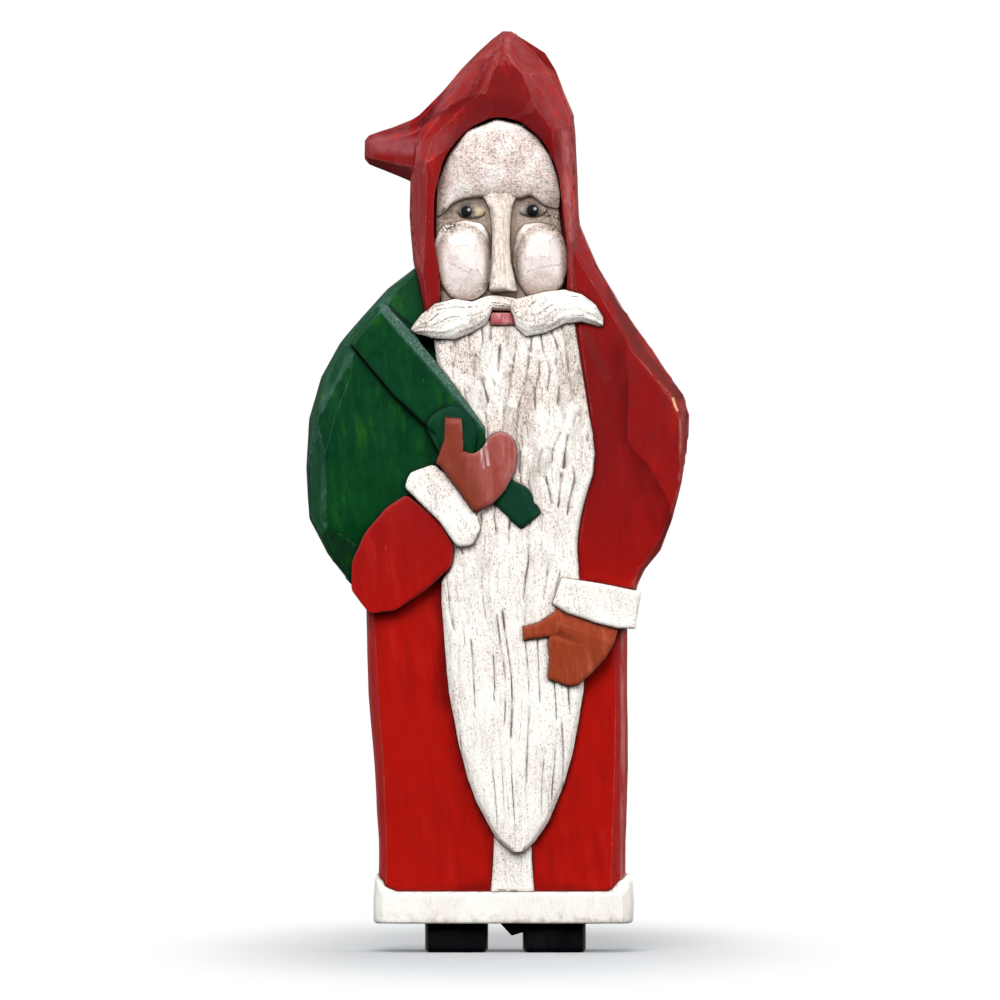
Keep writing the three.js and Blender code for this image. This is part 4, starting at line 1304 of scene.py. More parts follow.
@dataclass
class Carving:
    """The whole figure as one mesh, joined from its forms and worked over with the knife.

    Attributes:
        forms: The forms in the order in which they are joined.
    """

    forms: list[Form]

    def joined(self) -> bpy.types.Object:
        """Joins the forms by booleans into one closed mesh that keeps each face's form, paint and stain.

        Returns:
            The joined object.
        """
        made = [form.skin.mesh(form.name, form.paint, number) for number, form in enumerate(self.forms)]
        body = made[0]
        for form, other in zip(self.forms[1:], made[1:]):
            join = body.modifiers.new(form.name, "BOOLEAN")
            join.solver = "MANIFOLD"
            join.operation = "DIFFERENCE" if form.cuts_away else "UNION"
            join.object = other
        graph = bpy.context.evaluated_depsgraph_get()
        data = bpy.data.meshes.new_from_object(body.evaluated_get(graph))
        data.name = "painted_carving"
        for other in made:
            shape = other.data
            bpy.data.objects.remove(other)
            bpy.data.meshes.remove(shape)
        return added("painted_carving", data)

    def build(self) -> bpy.types.Object:
        """Joins the forms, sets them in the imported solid's place, works the surface and paints it.

        Returns:
            The finished object.
        """
        smoothing, on_ridge = 0.3, 0.9
        carving = self.joined()
        data = carving.data
        points = read(data.vertices, "co", 3)
        points += BLOCK.mean(axis=0) - (points.min(axis=0) + points.max(axis=0)) / 2
        form_of = read(data.attributes["form"].data, "value", 1, np.int32)
        paint_of = read(data.attributes["paint"].data, "value", 1, np.int32)
        corners = read(data.loops, "vertex_index", 1, np.int64)
        sizes = read(data.polygons, "loop_total", 1, np.int64)
        owner = np.repeat(np.arange(len(sizes)), sizes)
        paint_at = np.zeros(len(points), dtype=np.int64)
        paint_at[corners] = paint_of[owner]

        edges = Edges(points / MM, read(data.edges, "vertices", 2, np.int64))
        points = points + smoothing * (edges.means(points) - points)
        self.move(data, points)
        normals = read(data.vertex_normals, "vector", 3)
        points = points + normals * (self.knife_work(points / MM, paint_at) * MM)[:, None]
        self.move(data, points)

        note(data, {
            "facing": np.abs(normals[:, 1]),
            "seam": edges.way_from(self.on_seam(len(points), corners, form_of[owner])),
            "ridge": edges.way_from(read(data.attributes["edge"].data, "value") > on_ridge),
            "hollow": edges.hollows(points / MM, normals),
        })
        data.materials.clear()
        for material in paints():
            data.materials.append(material)
        data.polygons.foreach_set("material_index", paint_of)
        data.polygons.foreach_set("use_smooth", np.ones(len(paint_of), dtype=bool))
        data.update()
        log.info("painted_carving: %d forms, %d triangles", len(self.forms), int((sizes - 2).sum()))
        return carving

    def on_seam(self, count: int, corners: Array, form_of: Array) -> Array:
        """Tells which points lie between forms that don't run into each other.

        Args:
            count: The number of points.
            corners: The point of each face's corner.
            form_of: The form of each face's corner.

        Returns:
            True or False for each point.
        """
        names = [form.part or form.name for form in self.forms]
        parts = np.array([sorted(set(names)).index(name) for name in names])[form_of]
        low, high = np.full(count, len(names)), np.full(count, -1)
        np.minimum.at(low, corners, parts)
        np.maximum.at(high, corners, parts)
        return low != high

    @staticmethod
    def move(data: bpy.types.Mesh, points: Array) -> None:
        """Moves the mesh's points."""
        data.vertices.foreach_set("co", points.ravel())
        data.update()

    @staticmethod
    def knife_work(points: Array, paint: Array) -> Array:
        """Gives the shallow scoops and ripples that the knife left, in millimetres along the normal.

        Each scoop is a bowl: the square of the distance from its middle, in cells, times its depth.
        Scoops are long and broad on the coat, the hood and the sack, and small on the white trim and the
        face.

        Args:
            points: The surface points in millimetres.
            paint: The number of each point's paint.

        Returns:
            The height of the surface over its plain form.
        """
        broad = Cells.of(points, (13.0, 26.0, 24.0), 3).near
        small = Cells.of(points, (5.0, 12.0, 7.0), 8).near
        is_broad = np.isin(paint, [Paint.RED.value, Paint.GREEN.value])
        is_small = np.isin(paint, [Paint.SKIN.value, Paint.WHITE.value, Paint.BLACK.value])
        height = 0.35 * (np.minimum(broad, 1) ** 2 - 0.45) * is_broad
        height += 0.16 * (np.minimum(small, 1) ** 2 - 0.45) * is_small
        return height + 0.07 * (np.minimum(small, 1) ** 2 - 0.45) * ~is_small


class Value:
    """A number socket that adds Math nodes when it is used in an expression."""

    def __init__(self, nodes: "Nodes", socket: Any) -> None:
        """Wraps a socket, or a plain number, of a node tree."""
        self.nodes = nodes
        self.socket = socket

    def math(self, operation: str, *others: Number) -> "Value":
        """Adds one Math node.

        Args:
            operation: The node's operation.
            others: The values of its further sockets.

        Returns:
            The node's result.
        """
        node = self.nodes.node("ShaderNodeMath", {"operation": operation}, dict(enumerate((self, *others))))
        return Value(self.nodes, node.outputs[0])

    def __add__(self, other: Number) -> "Value":
        """Adds."""
        return self.math("ADD", other)

    __radd__ = __add__

    def __sub__(self, other: Number) -> "Value":
        """Subtracts."""
        return self.math("SUBTRACT", other)

    def __rsub__(self, other: float) -> "Value":
        """Subtracts from a number."""
        return Value(self.nodes, other).math("SUBTRACT", self)

    def __mul__(self, other: Number) -> "Value":
        """Multiplies."""
        return self.math("MULTIPLY", other)

    __rmul__ = __mul__

    def __truediv__(self, other: Number) -> "Value":
        """Divides."""
        return self.math("DIVIDE", other)

    def __or__(self, other: Number) -> "Value":
        """Gives the greater of two values, so that masks join."""
        return self.math("MAXIMUM", other)

    def step(self, low: float, high: float) -> "Value":
        """Gives 0 at low, 1 at high and a smooth step between them."""
        sockets = {"Value": self, "From Min": low, "From Max": high, "To Min": 0.0, "To Max": 1.0}
        node = self.nodes.node("ShaderNodeMapRange", {"interpolation_type": "SMOOTHSTEP"}, sockets)
        return Value(self.nodes, node.outputs[0])

    def clamped(self) -> "Value":
        """Keeps the value between 0 and 1."""
        return self.math("MINIMUM", 1.0).math("MAXIMUM", 0.0)


class Nodes:
    """A node tree, and the one method that adds a node to it."""

    def __init__(self, tree: bpy.types.NodeTree) -> None:
        """Empties the tree."""
        self.tree = tree
        tree.nodes.clear()

    def node(self, kind: str, settings: dict[str, Any] | None = None,
             sockets: dict[Any, Any] | None = None) -> Any:
        """Adds a node, sets its settings and then its sockets.

        Args:
            kind: The node's type.
            settings: Its attributes.
            sockets: Numbers, colours or links for its inputs, by name or number.

        Returns:
            The node.
        """
        made = self.tree.nodes.new(kind)
        for key, value in (settings or {}).items():
            setattr(made, key, value)
        self.feed(made, sockets or {})
        return made

    def feed(self, node: Any, sockets: dict[Any, Any]) -> None:
        """Links or sets a node's inputs, given by name or number.

        Args:
            node: The node.
            sockets: Numbers, colours or links, by name or number.
        """
        for key, value in sockets.items():
            value = value.socket if isinstance(value, Value) else value
            if isinstance(value, bpy.types.NodeSocket):
                self.tree.links.new(value, node.inputs[key])
            else:
                full = isinstance(value, tuple) and node.inputs[key].type == "RGBA" and len(value) == 3
                node.inputs[key].default_value = (*value, 1.0) if full else value


class Finish(Nodes):
    """A material's nodes, and the helpers that its recipe is written with.

    Attributes:
        material: The material.
        shader: Its shader.
        place: The link to the object's coordinates.
        colour: The colour that has been laid so far.
    """

    def __init__(self, name: str, colour: Colour) -> None:
        """Makes a material with its shader and output, and begins with one colour.

        Args:
            name: The material's name.
            colour: The colour to begin with.
        """
        self.material = bpy.data.materials.new(name)
        self.material.use_nodes = True
        super().__init__(self.material.node_tree)
        self.shader = self.node("ShaderNodeBsdfPrincipled")
        self.node("ShaderNodeOutputMaterial", None, {"Surface": self.shader.outputs[0]})
        self.place = self.node("ShaderNodeTexCoord").outputs["Object"]
        self.colour: Any = colour

    @cached_property
    def axes(self) -> tuple[Value, Value, Value]:
        """The object's coordinates in millimetres: x, the depth forward and z."""
        split = self.node("ShaderNodeSeparateXYZ", None, {0: self.place})
        x, y, z = (Value(self, split.outputs[axis]) for axis in "XYZ")
        return x * (1 / MM), y * (-1 / MM), z * (1 / MM)

    def attribute(self, name: str) -> Value:
        """Reads one of the mesh's own attributes."""
        return Value(self, self.node("ShaderNodeAttribute", {"attribute_name": name}).outputs["Fac"])

    def near(self, name: str, blur: Value, low: float, high: float) -> Value:
        """Gives 1 where an attribute, such as the way from a seam, is small, and 0 where it is great.

        Args:
            name: The attribute.
            blur: What is added to it, so that the mask's edge is uneven.
            low, high: The values at which the mask is 1 and 0.

        Returns:
            The mask.
        """
        return 1 - (self.attribute(name) + blur).step(low, high)

    def stretched(self, size: float, stretch: Triple, turn: float = 0.0) -> Any:
        """Scales the object's coordinates to a pattern's size, as the noise below describes it."""
        turned = self.node("ShaderNodeMapping", None, {"Vector": self.place, "Rotation": (0, turn, 0)})
        sockets = {"Vector": turned.outputs[0], "Scale": tuple(1 / (size * MM * s) for s in stretch)}
        return self.node("ShaderNodeMapping", None, sockets).outputs[0]

    def noise(self, size: float, stretch: Triple = (1, 1, 1), detail: float = 3,
              rough: float = 0.55, turn: float = 0.0) -> Value:
        """Gives a cloudy noise from 0 to 1.

        Args:
            size: The clouds' size in millimetres.
            stretch: How many times longer the clouds are along x, y and z.
            detail: How many finer layers are added.
            rough: How strong the finer layers are.
            turn: How far the clouds are turned in the plane of the front, in radians.

        Returns:
            The noise.
        """
        place = self.stretched(size, stretch, turn)
        sockets = {"Vector": place, "Scale": 1.0, "Detail": detail, "Roughness": rough}
        return Value(self, self.node("ShaderNodeTexNoise", None, sockets).outputs["Fac"])

    def patchy(self, size: float, low: float, high: float, gain: float, least: float,
               stretch: Triple = (1, 1, 1), rough: float = 0.55) -> Value:
        """Gives a strength that varies in patches: a noise's step, times a gain, plus a least strength."""
        return self.noise(size, stretch, 4, rough).step(low, high) * gain + least

    def dots(self, size: float, stretch: Triple = (1, 1, 1)) -> Value:
        """Gives the distance to the nearest of scattered dots that lie about a size apart, in sizes."""
        sockets = {"Vector": self.stretched(size, stretch), "Scale": 1.0}
        return Value(self, self.node("ShaderNodeTexVoronoi", None, sockets).outputs["Distance"])

    def mix(self, amount: Number, first: Any, second: Any) -> Any:
        """Mixes two colours, each a tuple or a link."""
        return self.node("ShaderNodeMix", {"data_type": "RGBA"}, {0: amount, 6: first, 7: second}).outputs[2]

    def lay(self, amount: Number, colour: Any) -> None:
        """Lays an amount of a colour over what has been laid so far."""
        self.colour = self.mix(amount, self.colour, colour)

    def spot(self, x: float, z: float, radius: float, soft: float = 0.25, flat: float = 1.0) -> Value:
        """Gives a round mask on the front, 1 inside and 0 outside, with a soft edge.

        Args:
            x, z: Its middle and that middle's height, in millimetres.
            radius: Its radius across.
            soft: The width of its edge.
            flat: Its height over its width.

        Returns:
            The mask.
        """
        across, _, up = self.axes
        away = ((across - x).math("POWER", 2.0) + ((up - z) / flat).math("POWER", 2.0)).math("SQRT")
        return 1 - away.step(radius - soft / 2, radius + soft / 2)

    def line(self, a: Pair, b: Pair, half: float, soft: float = 0.3) -> Value:
        """Gives the mask of a straight mark on the front between two places, both in millimetres.

        Args:
            a, b: The x and z of the mark's ends.
            half: Half its width.
            soft: How far its edge fades to either side.

        Returns:
            The mask.
        """
        across, _, up = self.axes
        start, way = np.array(a), np.array(b) - np.array(a)
        share = (((across - start[0]) * way[0] + (up - start[1]) * way[1]) / float(way @ way)).clamped()
        aside, above = across - start[0] - share * way[0], up - start[1] - share * way[1]
        away = (aside.math("POWER", 2.0) + above.math("POWER", 2.0)).math("SQRT")
        return 1 - away.step(max(0.0, half - soft), half + soft)

    def finish(self, roughness: Number, height: Value, bump: float,
               shine: float) -> bpy.types.Material:
        """Joins the colour, the roughness and the fine relief to the shader.

        Args:
            roughness: The roughness.
            height: The fine relief in millimetres.
            bump: How strongly the relief shows.
            shine: The strength of the reflections.

        Returns:
            The material.
        """
        normal = self.node("ShaderNodeBump", None, {"Strength": bump, "Distance": MM, "Height": height})
        self.feed(self.shader, {"Base Color": self.colour, "Roughness": roughness,
                                "Normal": normal.outputs[0], "Specular IOR Level": shine})
        return self.material


Mark = tuple[Value, Colour]


@dataclass(frozen=True)
class PaintCoat:
    """A thin coat of paint on carved wood, with brush streaks, grain, worn ridges and dark wash in the seams,
    and with painted sheen, highlight and shade.

    Attributes:
        name: The material's name.
        colour, deep, pale: The paint, and its darker and paler brush strokes.
        high: The paint in the upper part of the figure.
        painted_sheen: The paler painted sheen on cuts that turn away from the front, standing for the
            reflection of the white surroundings.
        wash: The dark wash in seams and hollows, which beside raised forms also stands for their painted
            shade.
        worn: What shows on rubbed ridges: worn paint, and a painted highlight along them.
        roughness: The paint's roughness.
        wear: How much of the ridges is rubbed and painted as highlight, from 0 to 1.
        patch: The size of the patches in millimetres.
        streak: How strong the fine streaks are, from 0 to 1.
        shine: The strength of the reflections.
        marks: Extra marks, each a function of the finish that gives a mask and a colour.
    """

    name: str
    colour: Colour
    deep: Colour
    pale: Colour
    high: Colour
    painted_sheen: Colour
    wash: Colour
    worn: Colour
    roughness: float = 0.5
    wear: float = 0.5
    patch: float = 26
    streak: float = 0.3
    shine: float = 0.025
    marks: tuple[Callable[[Finish], Mark], ...] = ()

    def material(self) -> bpy.types.Material:
        """Builds the paint's nodes.

        Returns:
            The material.
        """
        f = Finish(self.name, self.colour)
        _, forward, up = f.axes
        patches = f.noise(self.patch, (1, 1, 1.8), 3)
        streaks = f.noise(0.9, (1, 1, 14), 3)
        strokes = f.noise(4, (1, 1, 5), 3, 0.6, 0.12)
        grain = f.noise(0.4, (1, 1, 22), 2)
        fine = f.noise(0.6)
        uneven = f.noise(3, detail=4)
        mottle = f.noise(5, detail=5, rough=0.7)
        facing = f.attribute("facing")
        upper = (up + patches * 40).step(120, 200)
        f.lay(upper, self.high)
        f.lay(mottle.step(0.42, 0.72) * (upper * 0.5 + 0.2), self.deep)
        # Painted sheen: cuts that turn away from the front get a paler colour for the reflection of the white
        # surroundings.
        turned = (1 - facing.step(0.72, 0.93)) * (facing.step(0.2, 0.5) * 0.8 + 0.2)
        f.lay(turned * (mottle.step(0.75, 0.3) * 0.5 + 0.35) * (upper * 0.5 + 0.5), self.painted_sheen)
        f.lay(strokes.step(0.45, 0.75) * 0.6, self.deep)
        f.lay(strokes.step(0.5, 0.28) * patches.step(0.4, 0.62) * 0.8, self.pale)
        f.lay(streaks.step(0.52, 0.8) * self.streak, self.pale)
        f.lay(grain.step(0.56, 0.8) * self.streak, self.deep)
        # Dark wash in the seams and hollows; the halo and line beside raised forms also stand for painted
        # shade.
        halo, line = f.near("seam", uneven, 0.6, 2.6) * 0.45, f.near("seam", uneven * 0.5, 0.3, 0.85)
        pooled = f.attribute("hollow").step(0.15, 0.6) * 0.6
        f.lay(halo | line | pooled | (f.attribute("stain") * 0.9), self.wash)
        open_edge = f.attribute("seam").step(0.5, 0.9)
        # Worn paint and painted highlight along the ridges, away from the seams.
        rubbed = f.near("ridge", fine * 0.4, 0.15, 0.6) * (uneven.step(0.5, 0.66) * 0.65 + 0.35) * open_edge
        f.lay(rubbed * self.wear, self.worn)
        nicks = (1 - f.dots(11).step(0.018, 0.035)) * fine.step(0.42, 0.55) * open_edge
        f.lay(nicks * 0.6, self.worn)
        for mark in self.marks:
            mask, colour = mark(f)
            f.lay(mask * forward.step(-1, 3) * facing.step(0.12, 0.3), colour)
        rough = (self.roughness + (fine - 0.5) * 0.16 + (strokes - 0.5) * 0.16 + rubbed * 0.15).clamped()
        height = streaks * 0.05 + grain * 0.05 + strokes * 0.08 + fine * 0.03 - nicks * 0.08
        return f.finish(rough, height, 0.4, self.shine)


@dataclass(frozen=True)
class WhiteCoat:
    """White paint rubbed back with brown wash, which stays in the cuts and the pores.

    Attributes:
        name: The material's name.
        colour, tint: The paint and its warmer, pinkish patches.
        wash, line: The brown wash and the darker stain deep in the cuts, which along the seams also stand for
            painted shade.
        roughness: The paint's roughness.
    """

    name: str
    colour: Colour
    tint: Colour
    wash: Colour
    line: Colour
    roughness: float = 0.6

    def material(self) -> bpy.types.Material:
        """Builds the white paint's nodes.

        Returns:
            The material.
        """
        f = Finish(self.name, self.colour)
        _, _, up = f.axes
        patches = f.noise(13, (1, 1, 1.7), 4)
        fine = f.noise(0.5, (1, 1, 2.2))
        specks = f.noise(0.42, (1, 1, 1.6), 2, 0.7)
        scuffs = f.noise(0.8, (1, 1, 7), 3, 0.65, 0.1)
        uneven = f.noise(2.4, detail=4)
        broken = f.noise(2.4, (1, 1, 4), 3)
        hollow, stain = f.attribute("hollow"), f.attribute("stain")
        upper = up.step(120, 195)
        above_hem = 1.25 - (1 - up.step(19, 24) * 0.75)
        f.lay(patches.step(0.4, 0.62) * (0.3 + upper * 0.6), self.tint)
        dirty = patches.step(0.36, 0.6) * (0.4 + upper * 0.6)
        f.lay(scuffs.step(0.53, 0.72) * (dirty * 0.6 + 0.2) * above_hem, self.wash)
        dirt = specks.step(0.5, 0.64) * (dirty * 0.8 + 0.25) * above_hem
        f.lay(dirt, self.wash)
        pores = (1 - f.dots(1.2, (1, 1, 1.5)).step(0.12, 0.26)) * fine.step(0.38, 0.52) * (dirty * 0.5 + 0.5)
        f.lay(pores * above_hem, self.line)
        hem_foot = 1 - up.step(9.8, 14.5)
        f.lay(hem_foot * uneven.step(0.38, 0.8) * (fine * 0.9 + 0.1), self.wash)
        f.lay(f.near("ridge", fine * 0.5, 0.1, 0.55) * uneven.step(0.42, 0.56) * 0.6, self.wash)
        dash = f.line((0.5, 20.4), (6.3, 20.2), 0.35, 0.3) * broken.step(0.35, 0.5)
        f.lay(dash * 0.8, (0.09, 0.1, 0.04))
        hem_edge = f.line((-37, 19.5), (38, 19.5), 0.1, 0.35) * uneven.step(0.45, 0.6)
        f.lay(hem_edge * 0.6, self.wash)
        # Brown wash and darker stain in the seams and hollows, which along the seams also stand for painted
        # shade.
        halo = f.near("seam", uneven, 0.5, 2.4) * 0.6 * fine.step(0.25, 0.6)
        f.lay(halo | (hollow.step(0.12, 0.5) * 0.6) | (stain.step(0.1, 0.8) * broken.step(0.36, 0.6) * 0.45),
              self.wash)
        line = f.near("seam", uneven * 0.4, 0.25, 0.75) * 0.9
        f.lay(line | (stain.step(0.4, 0.9) * broken.step(0.36, 0.52) * 0.9), self.line)
        rough = (self.roughness + (fine - 0.5) * 0.2).clamped()
        return f.finish(rough, fine * 0.07 + uneven * 0.12 + scuffs * 0.08 - dirt * 0.05, 0.6, 0.1)


@dataclass(frozen=True)
class FacePaint:
    """The face's pinkish white, brown in the sockets, with painted eyes. Places are in millimetres.

    Attributes:
        name: The material's name.
        colour, blush, wash, socket, black: The paint, its pinkish patches, the brown wash, which in the
        seams also stands for painted shade, and the eyes' paints.
        eyes: Each pupil's x, z and radius, and the way to the eye's inner corner.
        inner_corners: The paint in the inner corner of each eye.
        outer_corners: The x and z of the dark outer corners of the eyes.
        cheeks: Each cheek's middle, half its width and its height over its width.
    """

    name: str = "face_paint"
    colour: Colour = (0.9, 0.86, 0.82)
    blush: Colour = (0.83, 0.68, 0.66)
    wash: Colour = (0.33, 0.25, 0.2)
    socket: Colour = (0.36, 0.29, 0.23)
    black: Colour = (0.004, 0.005, 0.006)
    eyes: tuple[tuple[float, float, float, float], ...] = (
        (-10.1, 240.8, 1.8, 4.6), (11.4, 241.1, 1.95, -3.6))
    inner_corners: tuple[Colour, ...] = ((0.6, 0.5, 0.3), (0.42, 0.38, 0.33))
    outer_corners: Outline = ((-17.2, 239.6), (-16.4, 236.4), (18.6, 239.4), (19.6, 236.4))
    cheeks: tuple[tuple[float, float, float, float], ...] = (
        (-11.1, 224.4, 8.85, 1.34), (14.25, 224.7, 7.95, 1.42))

    def material(self) -> bpy.types.Material:
        """Builds the face paint's nodes.

        Returns:
            The material.
        """
        f = Finish(self.name, self.colour)
        _, forward, up = f.axes
        patches = f.noise(8, detail=4)
        specks = f.noise(0.55, (1.4, 1, 1), 3, 0.75)
        coarse = f.noise(0.8, detail=3, rough=0.7)
        fine = f.noise(0.6)
        uneven = f.noise(2.2, detail=4)
        f.lay(patches.step(0.4, 0.62) * 0.8, self.blush)
        dome = up.step(242, 248) * (1 - up.step(264, 271))
        f.lay(dome * (patches.step(0.3, 0.6) * 0.45 + 0.2), (0.64, 0.51, 0.48))
        nose = f.line((1.2, 246), (1.5, 216), 2.4, 1.6)
        f.lay(nose * 0.7, (0.74, 0.65, 0.55))
        f.lay(nose * f.noise(0.8, (1, 1, 5), 4, 0.7).step(0.46, 0.62) * 0.55, self.wash)
        dirt = specks.step(0.46, 0.62) * (dome * (patches.step(0.3, 0.56) * 0.5 + 0.25) + 0.3)
        f.lay(dirt, self.wash)
        for x, z, half, tall in self.cheeks:
            inside = f.spot(x, z, half + 0.6, 0.6, tall)
            rim = inside * (1 - f.spot(x, z, half - 1.4, 3.4, tall))
            f.lay(inside * f.spot(x, z, half * 0.7, 4, tall) * patches.step(0.6, 0.35) * 0.5, self.blush)
            f.lay(rim * (coarse.step(0.35, 0.6) * 0.55 + 0.35), (0.27, 0.18, 0.13))
        # Painted shade on the lower cut of each cheek.
        lower = f.spot(14.4, 216.5, 5.5, 3, 0.9) | (f.spot(-11.5, 216, 5.5, 3, 0.7) * 0.5)
        f.lay(lower * (coarse.step(0.35, 0.6) * 0.4 + 0.25), (0.45, 0.33, 0.29))
        crease = f.line((-16.6, 224.8), (-9.4, 220.8), 0.1, 0.4) | f.line((8.6, 220.8), (14, 222.6), 0.1, 0.4)
        crease = crease | f.line((14, 222.6), (20.6, 223.6), 0.1, 0.4)
        crease = crease | f.line((-9.4, 220.8), (-7, 223.4), 0.1, 0.4)
        f.lay(crease * coarse.step(0.4, 0.58) * 0.6, (0.26, 0.18, 0.14))
        deep = 1 - forward.step(21.2, 23.4)
        f.lay(deep * (0.5 + uneven * 0.6), self.socket)
        f.lay(deep * coarse.step(0.46, 0.6) * 0.85, (0.09, 0.07, 0.05))
        # Brown wash and painted shade along the nose's sides and under its foot.
        beside = f.line((-2.4, 242), (-2.9, 215), 0.9, 1.5) | f.line((5.0, 242), (6.2, 215), 1.1, 1.7)
        foot = f.line((-2.4, 214.6), (6.6, 214.6), 0.7, 1.1)
        f.lay((beside | foot) * (uneven.step(0.25, 0.6) * 0.45 + 0.3), (0.13, 0.09, 0.05))
        for x, z in self.outer_corners:
            f.lay(f.spot(x, z, 3.4, 2.4, 0.8) * coarse.step(0.4, 0.56) * 0.9, (0.05, 0.035, 0.025))
        for (x, z, _, aside), colour in zip(self.eyes, self.inner_corners):
            f.lay(f.spot(x + aside, z, 2.0, 1.8, 0.7) * 0.8, colour)
        # Brown wash in the seams and hollows, which also stands for painted shade round the raised forms.
        halo = f.near("seam", uneven * 1.6, 0.8, 4.2) * 0.8
        f.lay(halo | (f.attribute("hollow").step(0.1, 0.5) * 0.7), self.wash)
        f.lay(f.near("seam", uneven * 0.5, 0.25, 0.8) * 0.9, (0.1, 0.065, 0.045))
        f.lay(f.near("ridge", fine * 0.4, 0.15, 0.6) * uneven.step(0.4, 0.6) * 0.6, self.wash)
        for x, z, radius, _ in self.eyes:
            f.lay(f.spot(x, z, radius + 1.0, 2.0, 0.9) * 0.8, (0.07, 0.055, 0.045))
            f.lay(f.spot(x, z, radius, 0.6, 1.05), self.black)
            # A painted highlight on each pupil.
            f.lay(f.spot(x + 0.8, z + 0.6, 0.45, 0.6) * 0.7, (0.6, 0.63, 0.66))
        rough = (0.6 + (fine - 0.5) * 0.2).clamped()
        return f.finish(rough, fine * 0.09 + uneven * 0.12 + specks * 0.08 - dirt * 0.04, 0.7, 0.1)


def tan_chip(f: Finish) -> Mark:
    """Gives the chip of bare wood on the ridge of the sleeve."""
    chip = f.line((57, 180), (57.8, 177.4), 0.35, 0.3) | f.line((57.6, 178), (58.4, 176.2), 0.3, 0.25)
    worn = f.line((59.3, 173.2), (59.5, 160), 0.2) | (f.line((44.5, 194.6), (55, 182.4), 0.05) * 0.5)
    return chip | (worn * f.noise(1.6, (1, 1, 3), 4).step(0.36, 0.66) * 0.4), (0.75, 0.42, 0.22)


def glaze_and_shade(f: Finish) -> Mark:
    """Gives the dark glaze in the hood's long trough, and the painted shade on the upper cut of its tip."""
    trough = f.line((-0.6, 293), (-4.6, 288), 0.5, 0.8) | f.line((-4.6, 288), (-8.4, 279.5), 0.9, 1.2)
    sweep = f.line((-8.4, 279.5), (-15.5, 273.6), 0.9, 1.2) | f.line((-15.5, 273.6), (-24, 270.6), 0.6, 0.9)
    tip = f.line((-25, 269.6), (-41, 265.4), 0.8, 0.9)
    return (trough | sweep | tip) * f.patchy(2.5, 0.3, 0.6, 0.3, 0.2), (0.09, 0.006, 0.01)


def shaded_sleeve_cut(f: Finish) -> Mark:
    """Gives the painted shade on the cut to the left of the sleeve's crease, darkest along the crease.

    The crease runs down at one x, then turns out twice: its x is a constant plus two slopes of the height.

    Args:
        f: The nodes of the paint that the mark is on.

    Returns:
        The mask and its colour.
    """
    across, _, up = f.axes
    wave = (f.noise(9, (1, 1, 1.5), 2) - 0.5) * 5
    crease = 42 + wave + ((167 - up) / 13).clamped() * 10.5 + ((154 - up) / 9).clamped() * 3.6
    left = (crease - across).step(-0.3, 0.5) * across.step(26, 29) * up.step(116, 124)
    near = (crease - across).step(6, 0) * 0.35 + 0.3
    below_top = 1 - up.step(194, 206)
    return left * near * below_top * f.patchy(4, 0.25, 0.6, 0.5, 0.5, (1, 1, 3)), (0.07, 0.003, 0.004)


def sleeve_leaf(f: Finish) -> Mark:
    """Gives the pinkish leaf-shaped cut at the top of the sleeve and the brownish cut outside its ridge."""
    leaf = f.line((28.5, 201), (35.5, 187), 1.7, 0.5) * 0.3
    outer = f.line((37, 215), (46.5, 195.5), 1.8, 0.8) | f.line((46.5, 195.5), (59, 181), 1.6, 0.8)
    return leaf | (outer * f.patchy(3, 0.3, 0.6, 0.3, 0.6)), (0.13, 0.022, 0.02)


def lit_right_cuts(f: Finish) -> Mark:
    """Gives the paler painted light on the cuts that turn to the right, on the coat's corner and the hood's
    rim.
    """
    pale = f.line((40.9, 22), (40.9, 108), 0.9, 0.5) | (f.line((22.2, 266), (23.6, 232), 1.2, 1.2) * 0.7)
    return pale * f.patchy(2.5, 0.35, 0.6, 0.7, 0.1, (1, 1, 4), 0.7), (0.46, 0.16, 0.155)


def shaded_crown(f: Finish) -> Mark:
    """Gives the deeper red of painted shade on the hood's front over the brow and on the crown's cuts that
    face the front.
    """
    across, _, up = f.axes
    band = f.spot(1.5, 240, 21.5, 6, 1.9) * up.step(250, 262)
    crown = up.step(270, 276) * f.attribute("facing").step(0.72, 0.92) * across.step(-22, -12)
    return (band * 0.74) | (crown * (f.noise(7, detail=4) * 0.3 + 0.35)), (0.075, 0.002, 0.003)


def sheen_on_tip(f: Finish) -> Mark:
    """Gives the pinkish painted sheen on the cuts of the hood's tip and of the leaf above it."""
    tip = f.line((-39, 263), (-28, 262), 2.6, 1.6) | (f.line((-19, 275.5), (-9.5, 288), 1.6, 1.4) * 0.35)
    return tip * f.patchy(3, 0.25, 0.6, 0.4, 0.4), (0.32, 0.08, 0.09)


def pale_strip(f: Finish) -> Mark:
    """Gives the paler cut along the right edge of the sack's neck."""
    strip = f.line((-37, 209.4), (-3.6, 171.2), 1.5, 0.4)
    return strip * f.patchy(0.7, 0.4, 0.62, 0.6, 0.3, rough=0.75), (0.09, 0.16, 0.135)


def pale_flecks(f: Finish) -> Mark:
    """Gives the whitish flecks on the rubbed cut of the sack's neck."""
    strip = f.line((-36.6, 209), (-3.8, 171.4), 1.2, 0.5) * f.noise(6).step(0.4, 0.6)
    return strip * f.noise(0.8, detail=4, rough=0.7).step(0.56, 0.66) * 0.7, (0.34, 0.42, 0.4)


def shaded_slot(f: Finish) -> Mark:
    """Gives the painted shade in the slot over the sack's neck and in the groove along the neck's lower edge.
    """
    slot = f.line((-36.8, 210.6), (-28.2, 204.1), 0.5, 0.5)
    groove = f.line((-47.5, 197), (-33.7, 181), 0.4, 0.5) | f.line((-33.7, 181), (-20.4, 168.6), 0.4, 0.5)
    return (slot | groove) * 0.85, (0.001, 0.006, 0.004)


